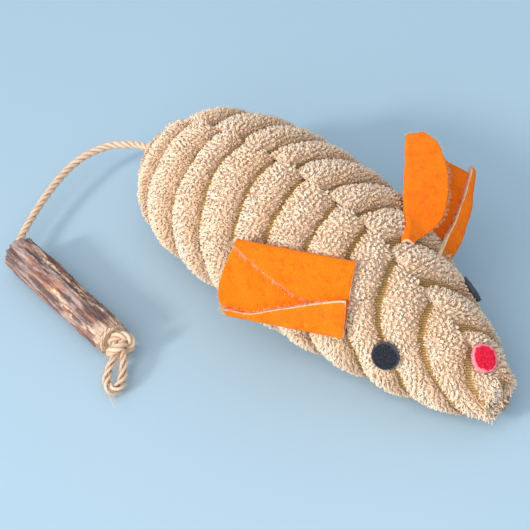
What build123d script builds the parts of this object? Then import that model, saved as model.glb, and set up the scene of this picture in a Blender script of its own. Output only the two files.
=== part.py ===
"""Plush mouse cat toy with folded felt ears and a cord tail that carries a drilled wooden chew stick.

Millimetres. +Z is up, the nose points towards -Y and the tail towards +Y, so the mouse's right side is -X.
The origin is the middle of the flat belly, on the surface that the toy stands on.
"""

import math
import os

from build123d import *

# ---- Driving dimensions ------------------------------------------------------------------------

# The body's outer form: place along Y, half width, half height, height of the section's centre.
body_stations = [
    (60.0, 4.0, 4.0, 15.8),
    (57.0, 11.0, 11.0, 16.3),
    (50.0, 17.5, 17.0, 17.2),
    (38.0, 22.5, 20.3, 19.0),
    (20.0, 24.5, 21.5, 20.0),
    (0.0, 24.0, 21.0, 19.5),
    (-15.0, 21.5, 19.6, 18.1),
    (-28.0, 17.8, 16.3, 15.0),
    (-40.0, 13.5, 12.8, 12.4),
    (-49.0, 9.6, 10.0, 11.0),
    (-54.0, 6.2, 6.8, 9.8),
    (-56.5, 3.0, 3.4, 9.2),
]
skin_thickness = 3.0
inner_ends = (55.0, -50.5)
seam_width = 0.5
seam_split_height = 15.0
closing_gap = (12.0, 34.0)

disc_diameter = 7.0
disc_thickness = 1.4
disc_sunk = 0.6
eye_place = (15.4, -33.0, 19.4)
eye_normal = (0.87, -0.30, 0.39)
nose_place = (0.0, -50.2, 19.6)
nose_normal = (0.0, -0.60, 0.80)

felt_thickness = 1.4
ear_length = 31.0
ear_width = 18.0
ear_tip_bulge = 2.0
ear_root_upper = (9.2, -16.8, 34.8)
ear_root_lower = (18.5, -22.4, 21.8)
ear_start = 1.0
ear_standoff = 0.8
ear_clearance = 0.5
flap_width = 11.0
flap_tip_width = 3.0
hem_width = 6.0
right_ear_run = (-13.8, 25.6, -0.2)
right_flap_opening = 14.0
left_ear_run = (22.4, 19.5, 4.2)
left_ear_twist = 8.0
left_flap_opening = 48.0
right_ear_swing = (0.0, 25.0, 50.0)
left_ear_swing = (-8.0, 8.0, 25.0)

stitch_diameter = 0.7
stitch_length = 3.0
stitch_count = 4

cord_diameter = 2.1
tail_exit = (0.0, 60.0, 15.0)
anchor_knot_diameter = 7.2
anchor_knot_depth = 8.0

stick_diameter = 9.8
stick_bark = 0.8
stick_near_end = (-45.0, 70.0, 5.0)
stick_far_end = (-48.4, 28.8, 5.0)
bore_clearance = 0.10

knot_half_length = 2.9
knot_radius = 4.2
knot_gap = 0.5
loop_length = 11.2
loop_half_width = 2.9
loop_arm_gap = 2.4
loop_cord_diameter = 1.8

os.makedirs("parts", exist_ok=True)


def mirrored(point):
    """The same place or direction on the other side of the body's middle plane."""
    return (-point[0], point[1], point[2])


def lies_within(y):
    """True for a station that the stuffing reaches."""
    return inner_ends[1] < y < inner_ends[0]


def inner_station(y):
    """A section of the stuffing at y, worked out between the two body stations around it."""
    for ahead, behind in zip(body_stations, body_stations[1:]):
        if behind[0] <= y <= ahead[0]:
            share = (ahead[0] - y) / (ahead[0] - behind[0])
            width, height, centre = [a + (b - a) * share for a, b in zip(ahead[1:], behind[1:])]
            return (y, width - skin_thickness, height - skin_thickness, centre)
    raise ValueError("the place is off the body")


# ---- Forms shared by the sewn pieces -----------------------------------------------------------

with BuildPart() as outer_form:
    for y, half_width, half_height, centre in body_stations:
        with BuildSketch(Plane.XZ.offset(-y)):
            with Locations((0, centre)):
                Ellipse(half_width, half_height)
    loft()
    split(bisect_by=Plane.XY, keep=Keep.TOP)

inner_places = [inner_ends[0], *[s[0] for s in body_stations if lies_within(s[0])], inner_ends[1]]
with BuildPart() as inner_form:
    for y, half_width, half_height, centre in [inner_station(place) for place in inner_places]:
        with BuildSketch(Plane.XZ.offset(-y)):
            with Locations((0, centre)):
                Ellipse(half_width, half_height)
    loft()

# A slightly larger body, which the ears' roots are cut to so that they stand clear of the pile.
with BuildPart() as clearance_form:
    for y, half_width, half_height, centre in body_stations:
        with BuildSketch(Plane.XZ.offset(-y)):
            with Locations((0, centre)):
                Ellipse(half_width + ear_clearance, half_height + ear_clearance)
    loft()

# ---- Tail anchor inside the body ---------------------------------------------------------------

tail_plane = Plane(origin=tail_exit, x_dir=(1, 0, 0), z_dir=(0, -1, 0))
with BuildPart() as tail_anchor_knot:
    with BuildSketch(tail_plane):
        Circle(cord_diameter / 2)
    extrude(amount=anchor_knot_depth)
    with Locations(tail_plane.offset(anchor_knot_depth)):
        Sphere(anchor_knot_diameter / 2)

# ---- Felt discs: two eyes and the nose ---------------------------------------------------------


def felt_disc(place, normal):
    """A round felt disc with a softened rim, standing partly sunk in the pile."""
    with BuildPart() as disc:
        with BuildSketch(Plane(origin=place, z_dir=normal).offset(-disc_sunk)):
            Circle(disc_diameter / 2)
        extrude(amount=disc_thickness)
        rim = disc.edges().filter_by(GeomType.CIRCLE)
        fillet(rim, radius=0.3)
    return disc


right_eye = felt_disc(mirrored(eye_place), mirrored(eye_normal))
left_eye = felt_disc(eye_place, eye_normal)
nose = felt_disc(nose_place, nose_normal)

# ---- Ears --------------------------------------------------------------------------------------


def ear_plane(root_upper, root_lower, run, front_sign, twist=0):
    """X runs from root to tip, Z out of the ear's open front; twist turns the ear about X, in degrees."""
    along = Vector(*run).normalized()
    across = Vector(*root_lower) - Vector(*root_upper)
    normal = along.cross(across).normalized() * front_sign
    flat = Plane(origin=Vector(*root_upper) + normal * ear_standoff, x_dir=along, z_dir=normal)
    return flat.rotated((twist, 0, 0))


def folded_ear(plane, side, opening, hinge, swing):
    """A felt ear: flat back, a wide flap folded over from its upper edge and a hem from its lower edge.

    side is +1 where the ear's width runs along the plane's +Y, and -1 where it runs along -Y.
    opening is the angle in degrees that the flap stands up from the back.
    The root is cut clear of the body at each angle of swing about the hinge, in degrees.
    """
    tip = ear_length
    with BuildPart() as ear:
        with BuildSketch(plane):
            with BuildLine():
                Polyline((tip, 0), (ear_start, 0), (ear_start, side * ear_width), (tip, side * ear_width))
                ThreePointArc(
                    (tip, side * ear_width),
                    (tip + ear_tip_bulge, side * ear_width / 2),
                    (tip, 0),
                )
            make_face()
        extrude(amount=felt_thickness)
        flap_plane = plane.offset(felt_thickness).rotated((side * opening, 0, 0))
        with BuildSketch(flap_plane):
            with BuildLine():
                Polyline((tip, side * flap_tip_width), (tip, 0), (ear_start, 0), (ear_start, side * flap_width))
                Spline(
                    (ear_start, side * flap_width),
                    (tip / 2, side * flap_width),
                    (tip, side * flap_tip_width),
                )
            make_face()
        extrude(amount=felt_thickness)
        with BuildSketch(plane.offset(felt_thickness)):
            with BuildLine():
                Polyline(
                    (ear_start, side * ear_width),
                    (ear_start, side * (ear_width - hem_width)),
                    (0.8 * tip, side * ear_width),
                    close=True,
                )
            make_face()
        extrude(amount=felt_thickness)
        add(clearance_form.part, mode=Mode.SUBTRACT)
        for angle in swing:
            add(clearance_form.part.rotate(hinge, -angle), mode=Mode.SUBTRACT)
    return ear


def hinge_through(start, end):
    """The axis from one point of an ear's root to the other."""
    return Axis(start, Vector(*end) - Vector(*start))


right_upper, right_lower = mirrored(ear_root_upper), mirrored(ear_root_lower)
right_ear_hinge = hinge_through(right_lower, right_upper)
left_ear_hinge = hinge_through(ear_root_upper, ear_root_lower)
right_ear_plane = ear_plane(right_upper, right_lower, right_ear_run, 1)
left_ear_plane = ear_plane(ear_root_upper, ear_root_lower, left_ear_run, -1, -left_ear_twist)
right_side = 1 if right_ear_plane.to_local_coords(Vector(*right_lower)).Y > 0 else -1
left_side = 1 if left_ear_plane.to_local_coords(Vector(*ear_root_lower)).Y > 0 else -1
right_ear = folded_ear(right_ear_plane, right_side, right_flap_opening, right_ear_hinge, right_ear_swing)
left_ear = folded_ear(left_ear_plane, left_side, left_flap_opening, left_ear_hinge, left_ear_swing)


def ear_stitches(root_upper, root_lower, run):
    """Short threads along an ear's root, buried in the skin where the ear is sewn down."""
    along = Vector(*run).normalized()
    upper, lower = Vector(*root_upper), Vector(*root_lower)
    with BuildPart() as stitches:
        for number in range(stitch_count):
            share = (number + 0.5) / stitch_count
            start = upper + (lower - upper) * share - along * stitch_length
            with BuildSketch(Plane(origin=start, z_dir=along)):
                Circle(stitch_diameter / 2)
            extrude(amount=stitch_length)
        add(outer_form.part, mode=Mode.INTERSECT)
        add(inner_form.part, mode=Mode.SUBTRACT)
    return stitches


right_ear_stitches = ear_stitches(right_upper, right_lower, right_ear_run)
left_ear_stitches = ear_stitches(ear_root_upper, ear_root_lower, left_ear_run)

# ---- Sewn skin ---------------------------------------------------------------------------------

with BuildPart() as skin:
    add(outer_form.part)
    add(inner_form.part, mode=Mode.SUBTRACT)
    add(tail_anchor_knot.part, mode=Mode.SUBTRACT)
    add(right_eye.part, mode=Mode.SUBTRACT)
    add(left_eye.part, mode=Mode.SUBTRACT)
    add(nose.part, mode=Mode.SUBTRACT)
    add(right_ear_stitches.part, mode=Mode.SUBTRACT)
    add(left_ear_stitches.part, mode=Mode.SUBTRACT)


def side_panel(side):
    """One half of the skin, side +1 for the mouse's left and -1 for its right."""
    with BuildPart() as panel:
        add(skin.part)
        with Locations((side * (50 + seam_width / 2), 0, 25)):
            Box(100, 200, 100, mode=Mode.INTERSECT)
    return panel


right_body_panel = side_panel(-1)
left_body_panel = side_panel(1)

with BuildPart() as back_seam_thread:
    add(skin.part)
    with Locations((0, 0, seam_split_height + 25)):
        Box(seam_width, 200, 50, mode=Mode.INTERSECT)

closing_length = closing_gap[1] - closing_gap[0]
closing_middle = (closing_gap[0] + closing_gap[1]) / 2
with BuildPart() as belly_seam_thread:
    add(skin.part)
    with Locations((0, 0, seam_split_height - 25)):
        Box(seam_width, 200, 50, mode=Mode.INTERSECT)
    with Locations((0, closing_middle, 0)):
        Box(10, closing_length, seam_split_height, mode=Mode.SUBTRACT)

with BuildPart() as closing_stitches:
    add(skin.part)
    with Locations((0, closing_middle, 0)):
        Box(seam_width, closing_length, seam_split_height, mode=Mode.INTERSECT)

with BuildPart() as fibre_stuffing:
    add(inner_form.part)
    add(tail_anchor_knot.part, mode=Mode.SUBTRACT)

# ---- Chew stick on the tail --------------------------------------------------------------------

stick_axis = (Vector(*stick_far_end) - Vector(*stick_near_end)).normalized()
stick_length = (Vector(*stick_far_end) - Vector(*stick_near_end)).length
stick_plane = Plane(origin=stick_near_end, x_dir=(0, 0, 1), z_dir=stick_axis)
bore_radius = cord_diameter / 2 + bore_clearance
core_radius = stick_diameter / 2 - stick_bark

with BuildPart() as stick_core:
    with BuildSketch(stick_plane):
        Circle(core_radius)
        Circle(bore_radius, mode=Mode.SUBTRACT)
    extrude(amount=stick_length)

with BuildPart() as stick_bark_sleeve:
    with BuildSketch(stick_plane):
        Circle(stick_diameter / 2)
        Circle(core_radius, mode=Mode.SUBTRACT)
    extrude(amount=stick_length)

# ---- Knot and loop at the cord's end -----------------------------------------------------------

knot_centre = Vector(*stick_far_end) + stick_axis * (knot_gap + knot_half_length)
with BuildPart() as end_knot:
    with BuildSketch(Plane(origin=knot_centre, x_dir=stick_axis, z_dir=(0, 0, 1))):
        with BuildLine():
            ThreePointArc((-knot_half_length, 0), (0, knot_radius), (knot_half_length, 0))
            Line((knot_half_length, 0), (-knot_half_length, 0))
        make_face()
    revolve(axis=Axis(knot_centre, stick_axis))

# The loop lies flat, pointing forward and outward from the knot, and slopes down to the floor.
loop_run = Vector(-9.2, -7.2, -2.6).normalized()
loop_start = knot_centre + loop_run * 1.5
loop_side = Vector(0, 0, 1).cross(loop_run).normalized()
loop_plane = Plane(origin=loop_start, x_dir=loop_run, z_dir=loop_run.cross(loop_side))
loop_near = 7.6
with BuildPart() as end_loop:
    with BuildLine(loop_plane) as loop_path:
        FilletPolyline(
            (0, loop_arm_gap / 2),
            (loop_near, loop_half_width),
            (loop_length, loop_half_width / 2),
            (loop_length, -loop_half_width / 2),
            (loop_near, -loop_half_width),
            (0, -loop_arm_gap / 2),
            radius=1.3,
        )
    with BuildSketch(Plane(origin=loop_path.line @ 0, z_dir=loop_path.line % 0)):
        Circle(loop_cord_diameter / 2)
    sweep()
    add(end_knot.part, mode=Mode.SUBTRACT)

# ---- Tail cord ---------------------------------------------------------------------------------

# From just behind the body, out and down in an arc, into the stick's near end and on to the knot.
bore_entry = Vector(*stick_near_end) - stick_axis * 1.2
cord_end = knot_centre
tail_route = [
    Vector(0.0, 61.4, 14.8),
    Vector(1.6, 67.8, 13.3),
    Vector(1.4, 75.3, 10.9),
    Vector(-3.6, 82.6, 9.2),
    Vector(-13.5, 84.9, 7.8),
    Vector(-24.5, 82.0, 6.5),
    Vector(-33.2, 78.4, 5.6),
    Vector(-40.0, 74.9, 5.1),
    Vector(-43.6, 72.7, 5.0),
    bore_entry,
    cord_end,
]


def corner_radii(points):
    """An arc for each corner, as large as its two runs allow."""
    radii = []
    for before, corner, after in zip(points, points[1:], points[2:]):
        run_in, run_out = corner - before, after - corner
        half_turn = math.radians(run_in.get_angle(run_out)) / 2
        radii.append(0.45 * min(run_in.length, run_out.length) / math.tan(half_turn))
    return radii


tail_radii = corner_radii(tail_route)
print("tail cord radii", [round(radius, 1) for radius in tail_radii])

with BuildPart() as tail_cord:
    with BuildLine() as tail_path:
        FilletPolyline(*tail_route, radius=tail_radii)
    with BuildSketch(Plane(origin=tail_path.line @ 0, z_dir=tail_path.line % 0)):
        Circle(cord_diameter / 2)
    sweep()
    cord_section = math.pi * cord_diameter**2 / 4
    cord_length = tail_path.wire().length
    print("tail cord length", round(cord_length, 1))
    print("volume over section x length", round(tail_cord.part.volume / (cord_section * cord_length), 4))
    add(end_knot.part, mode=Mode.SUBTRACT)

# ---- Write every sub-part ----------------------------------------------------------------------

for label, piece in {
    "right_body_panel": right_body_panel,
    "left_body_panel": left_body_panel,
    "fibre_stuffing": fibre_stuffing,
    "back_seam_thread": back_seam_thread,
    "belly_seam_thread": belly_seam_thread,
    "closing_stitches": closing_stitches,
    "right_eye": right_eye,
    "left_eye": left_eye,
    "nose": nose,
    "right_ear": right_ear,
    "left_ear": left_ear,
    "right_ear_stitches": right_ear_stitches,
    "left_ear_stitches": left_ear_stitches,
    "tail_anchor_knot": tail_anchor_knot,
    "tail_cord": tail_cord,
    "stick_core": stick_core,
    "stick_bark": stick_bark_sleeve,
    "end_knot": end_knot,
    "end_loop": end_loop,
}.items():
    piece.part.label = label
    export_step(piece.part, f"parts/{label}.step")
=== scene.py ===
"""The looks of a plush mouse cat toy: wide-wale plush, felt ears, a jute tail and a drilled chew stick.

Built around the toy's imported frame. Shapes are worked out in millimetres, in the frame's own axes, and
turned into metres where a mesh is made. The nose points towards -Y and the mouse's right side is -X.
"""

import math

import bmesh
import bpy
import numpy as np
from bpy.props import FloatProperty, FloatVectorProperty, IntProperty, PointerProperty
from mathutils import Euler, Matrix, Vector, noise
from mathutils.bvhtree import BVHTree


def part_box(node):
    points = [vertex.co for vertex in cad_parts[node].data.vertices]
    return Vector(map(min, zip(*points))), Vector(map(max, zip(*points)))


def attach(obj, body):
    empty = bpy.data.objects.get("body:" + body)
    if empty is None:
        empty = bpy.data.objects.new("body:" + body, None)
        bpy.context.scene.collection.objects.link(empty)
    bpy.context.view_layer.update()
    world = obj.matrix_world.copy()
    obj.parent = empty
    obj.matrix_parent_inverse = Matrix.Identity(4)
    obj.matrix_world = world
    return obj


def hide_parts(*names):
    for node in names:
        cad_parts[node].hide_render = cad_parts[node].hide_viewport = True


bl_info = {
    "name": "Plush Mouse Toy",
    "version": (1, 0, 0),
    "blender": (4, 5, 0),
    "location": "3D View > Sidebar > Mouse Toy",
    "description": "Makes the plush, felt, cord and wood of a mouse cat toy around its frame",
    "category": "Object",
}

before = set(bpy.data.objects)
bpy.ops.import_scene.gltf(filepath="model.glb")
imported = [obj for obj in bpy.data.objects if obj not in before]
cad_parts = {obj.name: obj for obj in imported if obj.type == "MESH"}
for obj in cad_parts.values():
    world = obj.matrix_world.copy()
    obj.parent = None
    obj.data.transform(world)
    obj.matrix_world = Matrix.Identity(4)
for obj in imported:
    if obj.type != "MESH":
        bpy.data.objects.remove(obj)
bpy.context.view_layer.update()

MM = 0.001
SKIN_NODES = (
    "left_body_panel",
    "right_body_panel",
    "back_seam_thread",
    "belly_seam_thread",
    "closing_stitches",
)
RIGHT, LEFT = -1, 1
SIDE_NAMES = {RIGHT: "right", LEFT: "left"}

# The wales' grooves on each side: place along Y at the back seam, how far the groove has swept towards
# the nose half way down the side, and how late it starts to sweep.
GROOVES = {
    RIGHT: (
        (70.0, 1.0, 2.2),
        (57.6, 1.0, 2.2),
        (49.3, 1.3, 2.2),
        (38.3, 4.2, 2.4),
        (29.8, 8.4, 2.3),
        (18.2, 8.8, 2.1),
        (8.6, 10.0, 1.8),
        (-3.0, 9.5, 1.8),
        (-13.0, 12.5, 1.6),
        (-22.8, 14.0, 1.6),
        (-34.2, 14.5, 1.5),
        (-47.5, 12.0, 1.5),
        (-72.0, 12.0, 1.5),
    ),
    LEFT: (
        (74.0, 1.0, 2.2),
        (54.0, 1.5, 2.2),
        (42.5, 3.0, 2.4),
        (31.0, 7.0, 2.3),
        (21.4, 8.4, 2.1),
        (12.8, 9.4, 1.9),
        (1.6, 9.5, 1.8),
        (-8.6, 11.0, 1.7),
        (-19.0, 13.0, 1.6),
        (-30.0, 15.0, 1.5),
        (-42.5, 13.0, 1.5),
        (-56.0, 9.0, 1.5),
        (-74.0, 9.0, 1.5),
    ),
}

GROOVE_DEPTH, HEAD_GROOVE_DEPTH = 2.75, 2.2
CROWN_DEPTH = 0.5

# The tail cord's route, from the body to the knot beyond the stick.
TAIL_ROUTE = (
    (0.0, 61.4, 14.8),
    (1.6, 67.8, 13.3),
    (1.4, 75.3, 10.9),
    (-3.6, 82.6, 9.2),
    (-13.5, 84.9, 7.8),
    (-24.5, 82.0, 6.5),
    (-33.2, 78.4, 5.6),
    (-40.0, 74.9, 5.1),
    (-43.6, 72.7, 5.0),
    (-44.9, 71.2, 5.0),
    (-48.68, 25.41, 5.0),
)
TAIL_EXIT = np.array((0.0, 60.0, 15.0))
TAIL_DIMPLE, TAIL_DIMPLE_REACH = 1.6, 4.5
STICK_NEAR_END = np.array((-45.0, 70.0, 5.0))
STICK_FAR_END = np.array((-48.4, 28.8, 5.0))
STICK_RADIUS = 4.9
BARK_THICKNESS = 0.8
BORE_RADIUS = 1.15
KNOT_CENTRE = np.array((-48.68, 25.41, 5.0))

EYE_PLACE = (15.4, -33.0, 19.4)
EYE_NORMAL = (0.87, -0.30, 0.39)
NOSE_PLACE = (0.0, -50.2, 19.6)
NOSE_NORMAL = (0.0, -0.60, 0.80)
DISC_RADIUS = 3.5

EAR_ROOT_UPPER = (9.2, -16.8, 34.8)
EAR_ROOT_LOWER = (18.5, -22.4, 21.8)


# ---- Small helpers -----------------------------------------------------------------------------


def unit(v):
    """The vector, or each row of an array of vectors, at length one."""
    v = np.asarray(v, float)
    return v / np.linalg.norm(v, axis=-1, keepdims=True)


def display_colour(red, green, blue):
    """A linear colour from the 0 to 255 values of a colour chart."""
    return tuple(
        c / 12.92 if c <= 0.04045 else ((c + 0.055) / 1.055) ** 2.4
        for c in (red / 255, green / 255, blue / 255)
    )


def mesh_object(name, points, faces, smooth=True):
    """An object from points in millimetres and faces of one size, given as an array of indices."""
    points, faces = np.asarray(points, np.float32), np.asarray(faces, np.int32)
    corners = faces.shape[1]
    mesh = bpy.data.meshes.new(name)
    mesh.vertices.add(len(points))
    mesh.vertices.foreach_set("co", (points * MM).ravel())
    mesh.loops.add(faces.size)
    mesh.loops.foreach_set("vertex_index", faces.ravel())
    mesh.polygons.add(len(faces))
    mesh.polygons.foreach_set("loop_start", np.arange(0, faces.size, corners, dtype=np.int32))
    mesh.polygons.foreach_set("use_smooth", np.full(len(faces), smooth))
    mesh.update(calc_edges=True)
    made = bpy.data.objects.new(name, mesh)
    bpy.context.scene.collection.objects.link(made)
    return made


def paint(piece, name, colours):
    """Stores one colour for each point of a piece, which its material reads by name."""
    layer = piece.data.color_attributes.new(name, "FLOAT_COLOR", "POINT")
    rows = np.ones((len(colours), 4), np.float32)
    rows[:, : np.shape(colours)[1]] = colours
    layer.data.foreach_set("color", rows.ravel())


def grid_faces(rows, columns, around=False):
    """Four-cornered faces over a grid of points, closed round its columns if asked."""
    last = columns if around else columns - 1
    r, c = np.meshgrid(np.arange(rows - 1), np.arange(last), indexing="ij")
    r, c = r.ravel(), c.ravel()
    following = (c + 1) % columns
    corners = (r * columns + c, r * columns + following, (r + 1) * columns + following, (r + 1) * columns + c)
    return np.stack(corners, axis=1)


def settings():
    """The toy's own settings on the scene."""
    return bpy.context.scene.mouse_toy


# ---- Materials ---------------------------------------------------------------------------------


class Finish:
    """A material under construction: its nodes, and the surface shader they feed."""

    def __init__(self, name, **surface):
        self.material = bpy.data.materials.new(name)
        self.material.use_nodes = True
        self.tree = self.material.node_tree
        self.shader = self.tree.nodes["Principled BSDF"]
        for socket, value in surface.items():
            self.shader.inputs[socket.replace("_", " ")].default_value = value

    def add(self, kind, options=None, **inputs):
        """A new node. Inputs are values or the outputs of other nodes."""
        made = self.tree.nodes.new(kind)
        for key, value in (options or {}).items():
            setattr(made, key, value)
        for key, value in inputs.items():
            self.feed(made.inputs[int(key[1:]) if key[0] == "_" else key.replace("_", " ")], value)
        return made

    def feed(self, socket, value):
        """Sets a socket, or links it when the value is another node's output."""
        if isinstance(value, bpy.types.NodeSocket):
            self.tree.links.new(value, socket)
        elif hasattr(socket.default_value, "__len__") and len(socket.default_value) == 4:
            socket.default_value = (*value[:3], 1.0)
        else:
            socket.default_value = value

    def place(self, scale=(1.0, 1.0, 1.0)):
        """The piece's own coordinates, scaled along each axis."""
        coordinates = self.add("ShaderNodeTexCoord")
        return self.add("ShaderNodeMapping", Vector=coordinates.outputs["Object"], Scale=scale).outputs[0]

    def cloud(self, scale, detail=3.0, vector=None, roughness=0.55):
        """Soft noise from 0 to 1, its scale in features to a metre."""
        where = vector or self.place()
        made = self.add("ShaderNodeTexNoise", Vector=where, Scale=scale, Detail=detail, Roughness=roughness)
        return made.outputs["Fac"]

    def ramp(self, value, *stops):
        """A colour for each value, through (place, colour) stops."""
        made = self.add("ShaderNodeValToRGB", Fac=value)
        band = made.color_ramp.elements
        while len(band) < len(stops):
            band.new(0.5)
        for element, (place, colour) in zip(band, stops):
            element.position = place
            element.color = (*colour[:3], 1.0)
        return made.outputs["Color"]

    def mix(self, share, first, second, blend="MIX"):
        """Two colours mixed."""
        made = self.add("ShaderNodeMix", {"data_type": "RGBA", "blend_type": blend})
        self.feed(made.inputs[0], share)
        self.feed(made.inputs[6], first)
        self.feed(made.inputs[7], second)
        return made.outputs[2]

    def sum(self, first, second, operation="ADD"):
        """Two numbers put together."""
        return self.add("ShaderNodeMath", {"operation": operation}, _0=first, _1=second).outputs[0]

    def spread(self, value, low, high):
        """A value from 0 to 1 spread between two others."""
        return self.add("ShaderNodeMapRange", Value=value, To_Min=low, To_Max=high).outputs["Result"]

    def bump(self, height, distance, strength=1.0):
        """Small relief on the surface, its distance in millimetres."""
        made = self.add("ShaderNodeBump", Height=height, Distance=distance * MM, Strength=strength)
        self.tree.links.new(made.outputs["Normal"], self.shader.inputs["Normal"])

    def finish(self, colour, roughness=None):
        """Feeds the surface shader and gives the material."""
        self.feed(self.shader.inputs["Base Color"], colour)
        if roughness is not None:
            self.feed(self.shader.inputs["Roughness"], roughness)
        return self.material


def pile_finish():
    """Plush pile: darker and warmer at the roots, paler at the tips, each lock a little different. The lock
    colours carry painted shade: deep in the pile, towards the grooves, in the creases between clumps and on
    the wales' nose-ward flanks.
    """
    s = settings().plush
    f = Finish("plush_pile", Roughness=0.9, Sheen_Weight=0.25, Sheen_Roughness=0.6, Specular_IOR_Level=0.15)
    layer = f.add("ShaderNodeAttribute", {"attribute_name": "lock"})
    parts = f.add("ShaderNodeSeparateColor", Color=layer.outputs["Color"]).outputs
    # Painted shade: the lock attribute's first channel runs from the dark root colour, deep in the pile, to
    # the pale tip colour. Its second channel varies the tone at random and is lowered as painted shade on the
    # wales' nose-ward flanks.
    along = f.ramp(parts[0], (0.0, s.root_colour), (0.45, s.pile_colour), (1.0, s.tip_colour))
    tone = f.ramp(parts[1], (0.0, (0.78, 0.70, 0.60)), (0.4, (0.97, 0.95, 0.92)), (1.0, (1.07, 1.07, 1.07)))
    patches = f.cloud(120.0, 4.0)
    warmth = f.ramp(patches, (0.3, (1.0, 0.93, 0.82)), (0.65, (1.0, 1.0, 1.0)))
    colour = f.mix(1.0, f.mix(1.0, along, tone, "MULTIPLY"), warmth, "MULTIPLY")
    f.bump(f.cloud(5200.0, 2.0), 0.08, 0.6)
    return f.finish(colour, f.spread(patches, 0.78, 0.95))


def ground_finish(name="plush_ground"):
    """The woven ground that shows gold in the grooves between the wales."""
    s = settings().plush
    f = Finish(name, Roughness=0.8, Sheen_Weight=0.1)
    weave = f.add("ShaderNodeTexWave", {"bands_direction": "DIAGONAL"}, Vector=f.place(), Scale=620.0)
    weave.inputs["Distortion"].default_value = 1.5
    stained = f.cloud(300.0, 4.0)
    dark = tuple(0.45 * c for c in s.ground_colour)
    stain = f.mix(f.sum(stained, 0.5, "MULTIPLY"), s.ground_colour, s.root_colour)
    cloth = f.mix(weave.outputs["Fac"], dark, stain)
    layer = f.add("ShaderNodeAttribute", {"attribute_name": "wale"})
    under = f.ramp(layer.outputs["Fac"], (0.25, (0.0, 0.0, 0.0)), (0.55, (1.0, 1.0, 1.0)))
    colour = f.mix(under, cloth, f.mix(stained, s.root_colour, s.pile_colour))
    f.bump(weave.outputs["Fac"], 0.15)
    return f.finish(colour, f.spread(stained, 0.7, 0.9))


def felt_finish(name, colour, shade, fleck, sheen=0.04):
    """Pressed felt: mottled colour with pale tangled fibres and a soft broken surface."""
    glow = {"Subsurface_Weight": 0.35, "Subsurface_Radius": (1.0, 0.28, 0.08), "Subsurface_Scale": 0.0022}
    f = Finish(name, Roughness=0.9, Sheen_Weight=sheen, Sheen_Roughness=0.45, Specular_IOR_Level=0.15, **glow)
    mottle = f.cloud(420.0, 6.0, roughness=0.7)
    base = f.ramp(mottle, (0.28, shade), (0.5, colour), (0.75, colour))
    tangle = f.add("ShaderNodeTexVoronoi", {"feature": "DISTANCE_TO_EDGE"}, Scale=1500.0)
    f.feed(tangle.inputs["Vector"], f.place((1.0, 1.0, 0.35)))
    thread = f.ramp(tangle.outputs["Distance"], (0.0, (1.0, 1.0, 1.0)), (0.06, (0.0, 0.0, 0.0)))
    speck = f.cloud(2600.0, 3.0)
    share = f.sum(f.sum(thread, speck, "MULTIPLY"), 0.9, "MULTIPLY")
    grain = f.sum(f.cloud(1900.0, 5.0, roughness=0.75), f.sum(thread, 0.25, "MULTIPLY"))
    f.bump(grain, 0.4, 0.9)
    return f.finish(f.mix(share, base, fleck), f.spread(mottle, 0.8, 0.98))


def jute_finish():
    """Twisted jute: straw coloured strands with painted shade in the grooves between plies, and fine fibres
    along them.
    """
    s = settings().cord
    f = Finish("twisted_jute", Roughness=0.75, Sheen_Weight=0.2)
    layer = f.add("ShaderNodeAttribute", {"attribute_name": "strand"})
    parts = f.add("ShaderNodeSeparateColor", Color=layer.outputs["Color"]).outputs
    fibres = f.cloud(2600.0, 5.0, roughness=0.75)
    pale = f.mix(fibres, s.jute_colour, s.jute_light)
    shaded = f.mix(parts[0], s.jute_shade, pale)
    toned = f.mix(f.sum(parts[1], 0.35, "MULTIPLY"), shaded, s.jute_shade)
    f.bump(fibres, 0.12, 0.9)
    return f.finish(toned, f.spread(fibres, 0.6, 0.9))


def thread_finish():
    """Sewing thread: beige, lightly twisted."""
    s = settings().plush
    f = Finish("sewing_thread", Roughness=0.6)
    twist = f.add("ShaderNodeTexWave", {"bands_direction": "DIAGONAL"}, Vector=f.place(), Scale=900.0)
    f.bump(twist.outputs["Fac"], 0.05)
    dark = tuple(0.6 * c for c in s.pile_colour)
    return f.finish(f.mix(twist.outputs["Fac"], dark, s.pile_colour), f.spread(f.cloud(700.0), 0.5, 0.7))


def stuffing_finish():
    """Loose white fibre filling."""
    f = Finish("fibre_filling", Roughness=0.9, Sheen_Weight=0.3)
    wisps = f.cloud(500.0, 6.0, roughness=0.75)
    f.bump(wisps, 0.8)
    white = f.ramp(wisps, (0.3, (0.62, 0.60, 0.56)), (0.7, (0.88, 0.87, 0.84)))
    return f.finish(white, f.spread(wisps, 0.8, 1.0))


def bark_finish():
    """Dry bark: grey-brown ridges, dark cracks, rusty scrapes and strips peeled to tan wood."""
    s = settings().wood
    f = Finish("dry_bark", Roughness=0.85)
    layer = f.add("ShaderNodeAttribute", {"attribute_name": "bark"})
    parts = f.add("ShaderNodeSeparateColor", Color=layer.outputs["Color"]).outputs
    along = f.place((1.0, 0.12, 1.0))
    streaks = f.cloud(900.0, 6.0, along, 0.7)
    blotches = f.cloud(420.0, 5.0, f.place((1.0, 0.3, 1.0)))
    ridges = f.ramp(streaks, (0.38, s.bark_dark), (0.5, s.bark_colour), (0.64, s.bark_light))
    rusted = f.mix(f.ramp(blotches, (0.50, (0, 0, 0)), (0.60, (0.85, 0.85, 0.85))), ridges, s.rust_colour)
    worn = f.mix(parts[1], rusted, f.mix(streaks, s.wood_colour, s.wood_light))
    cracked = f.mix(parts[0], s.bark_dark, worn)
    f.bump(f.sum(streaks, f.cloud(2400.0, 4.0)), 0.25, 0.9)
    return f.finish(cracked, f.spread(streaks, 0.7, 0.95))


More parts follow.
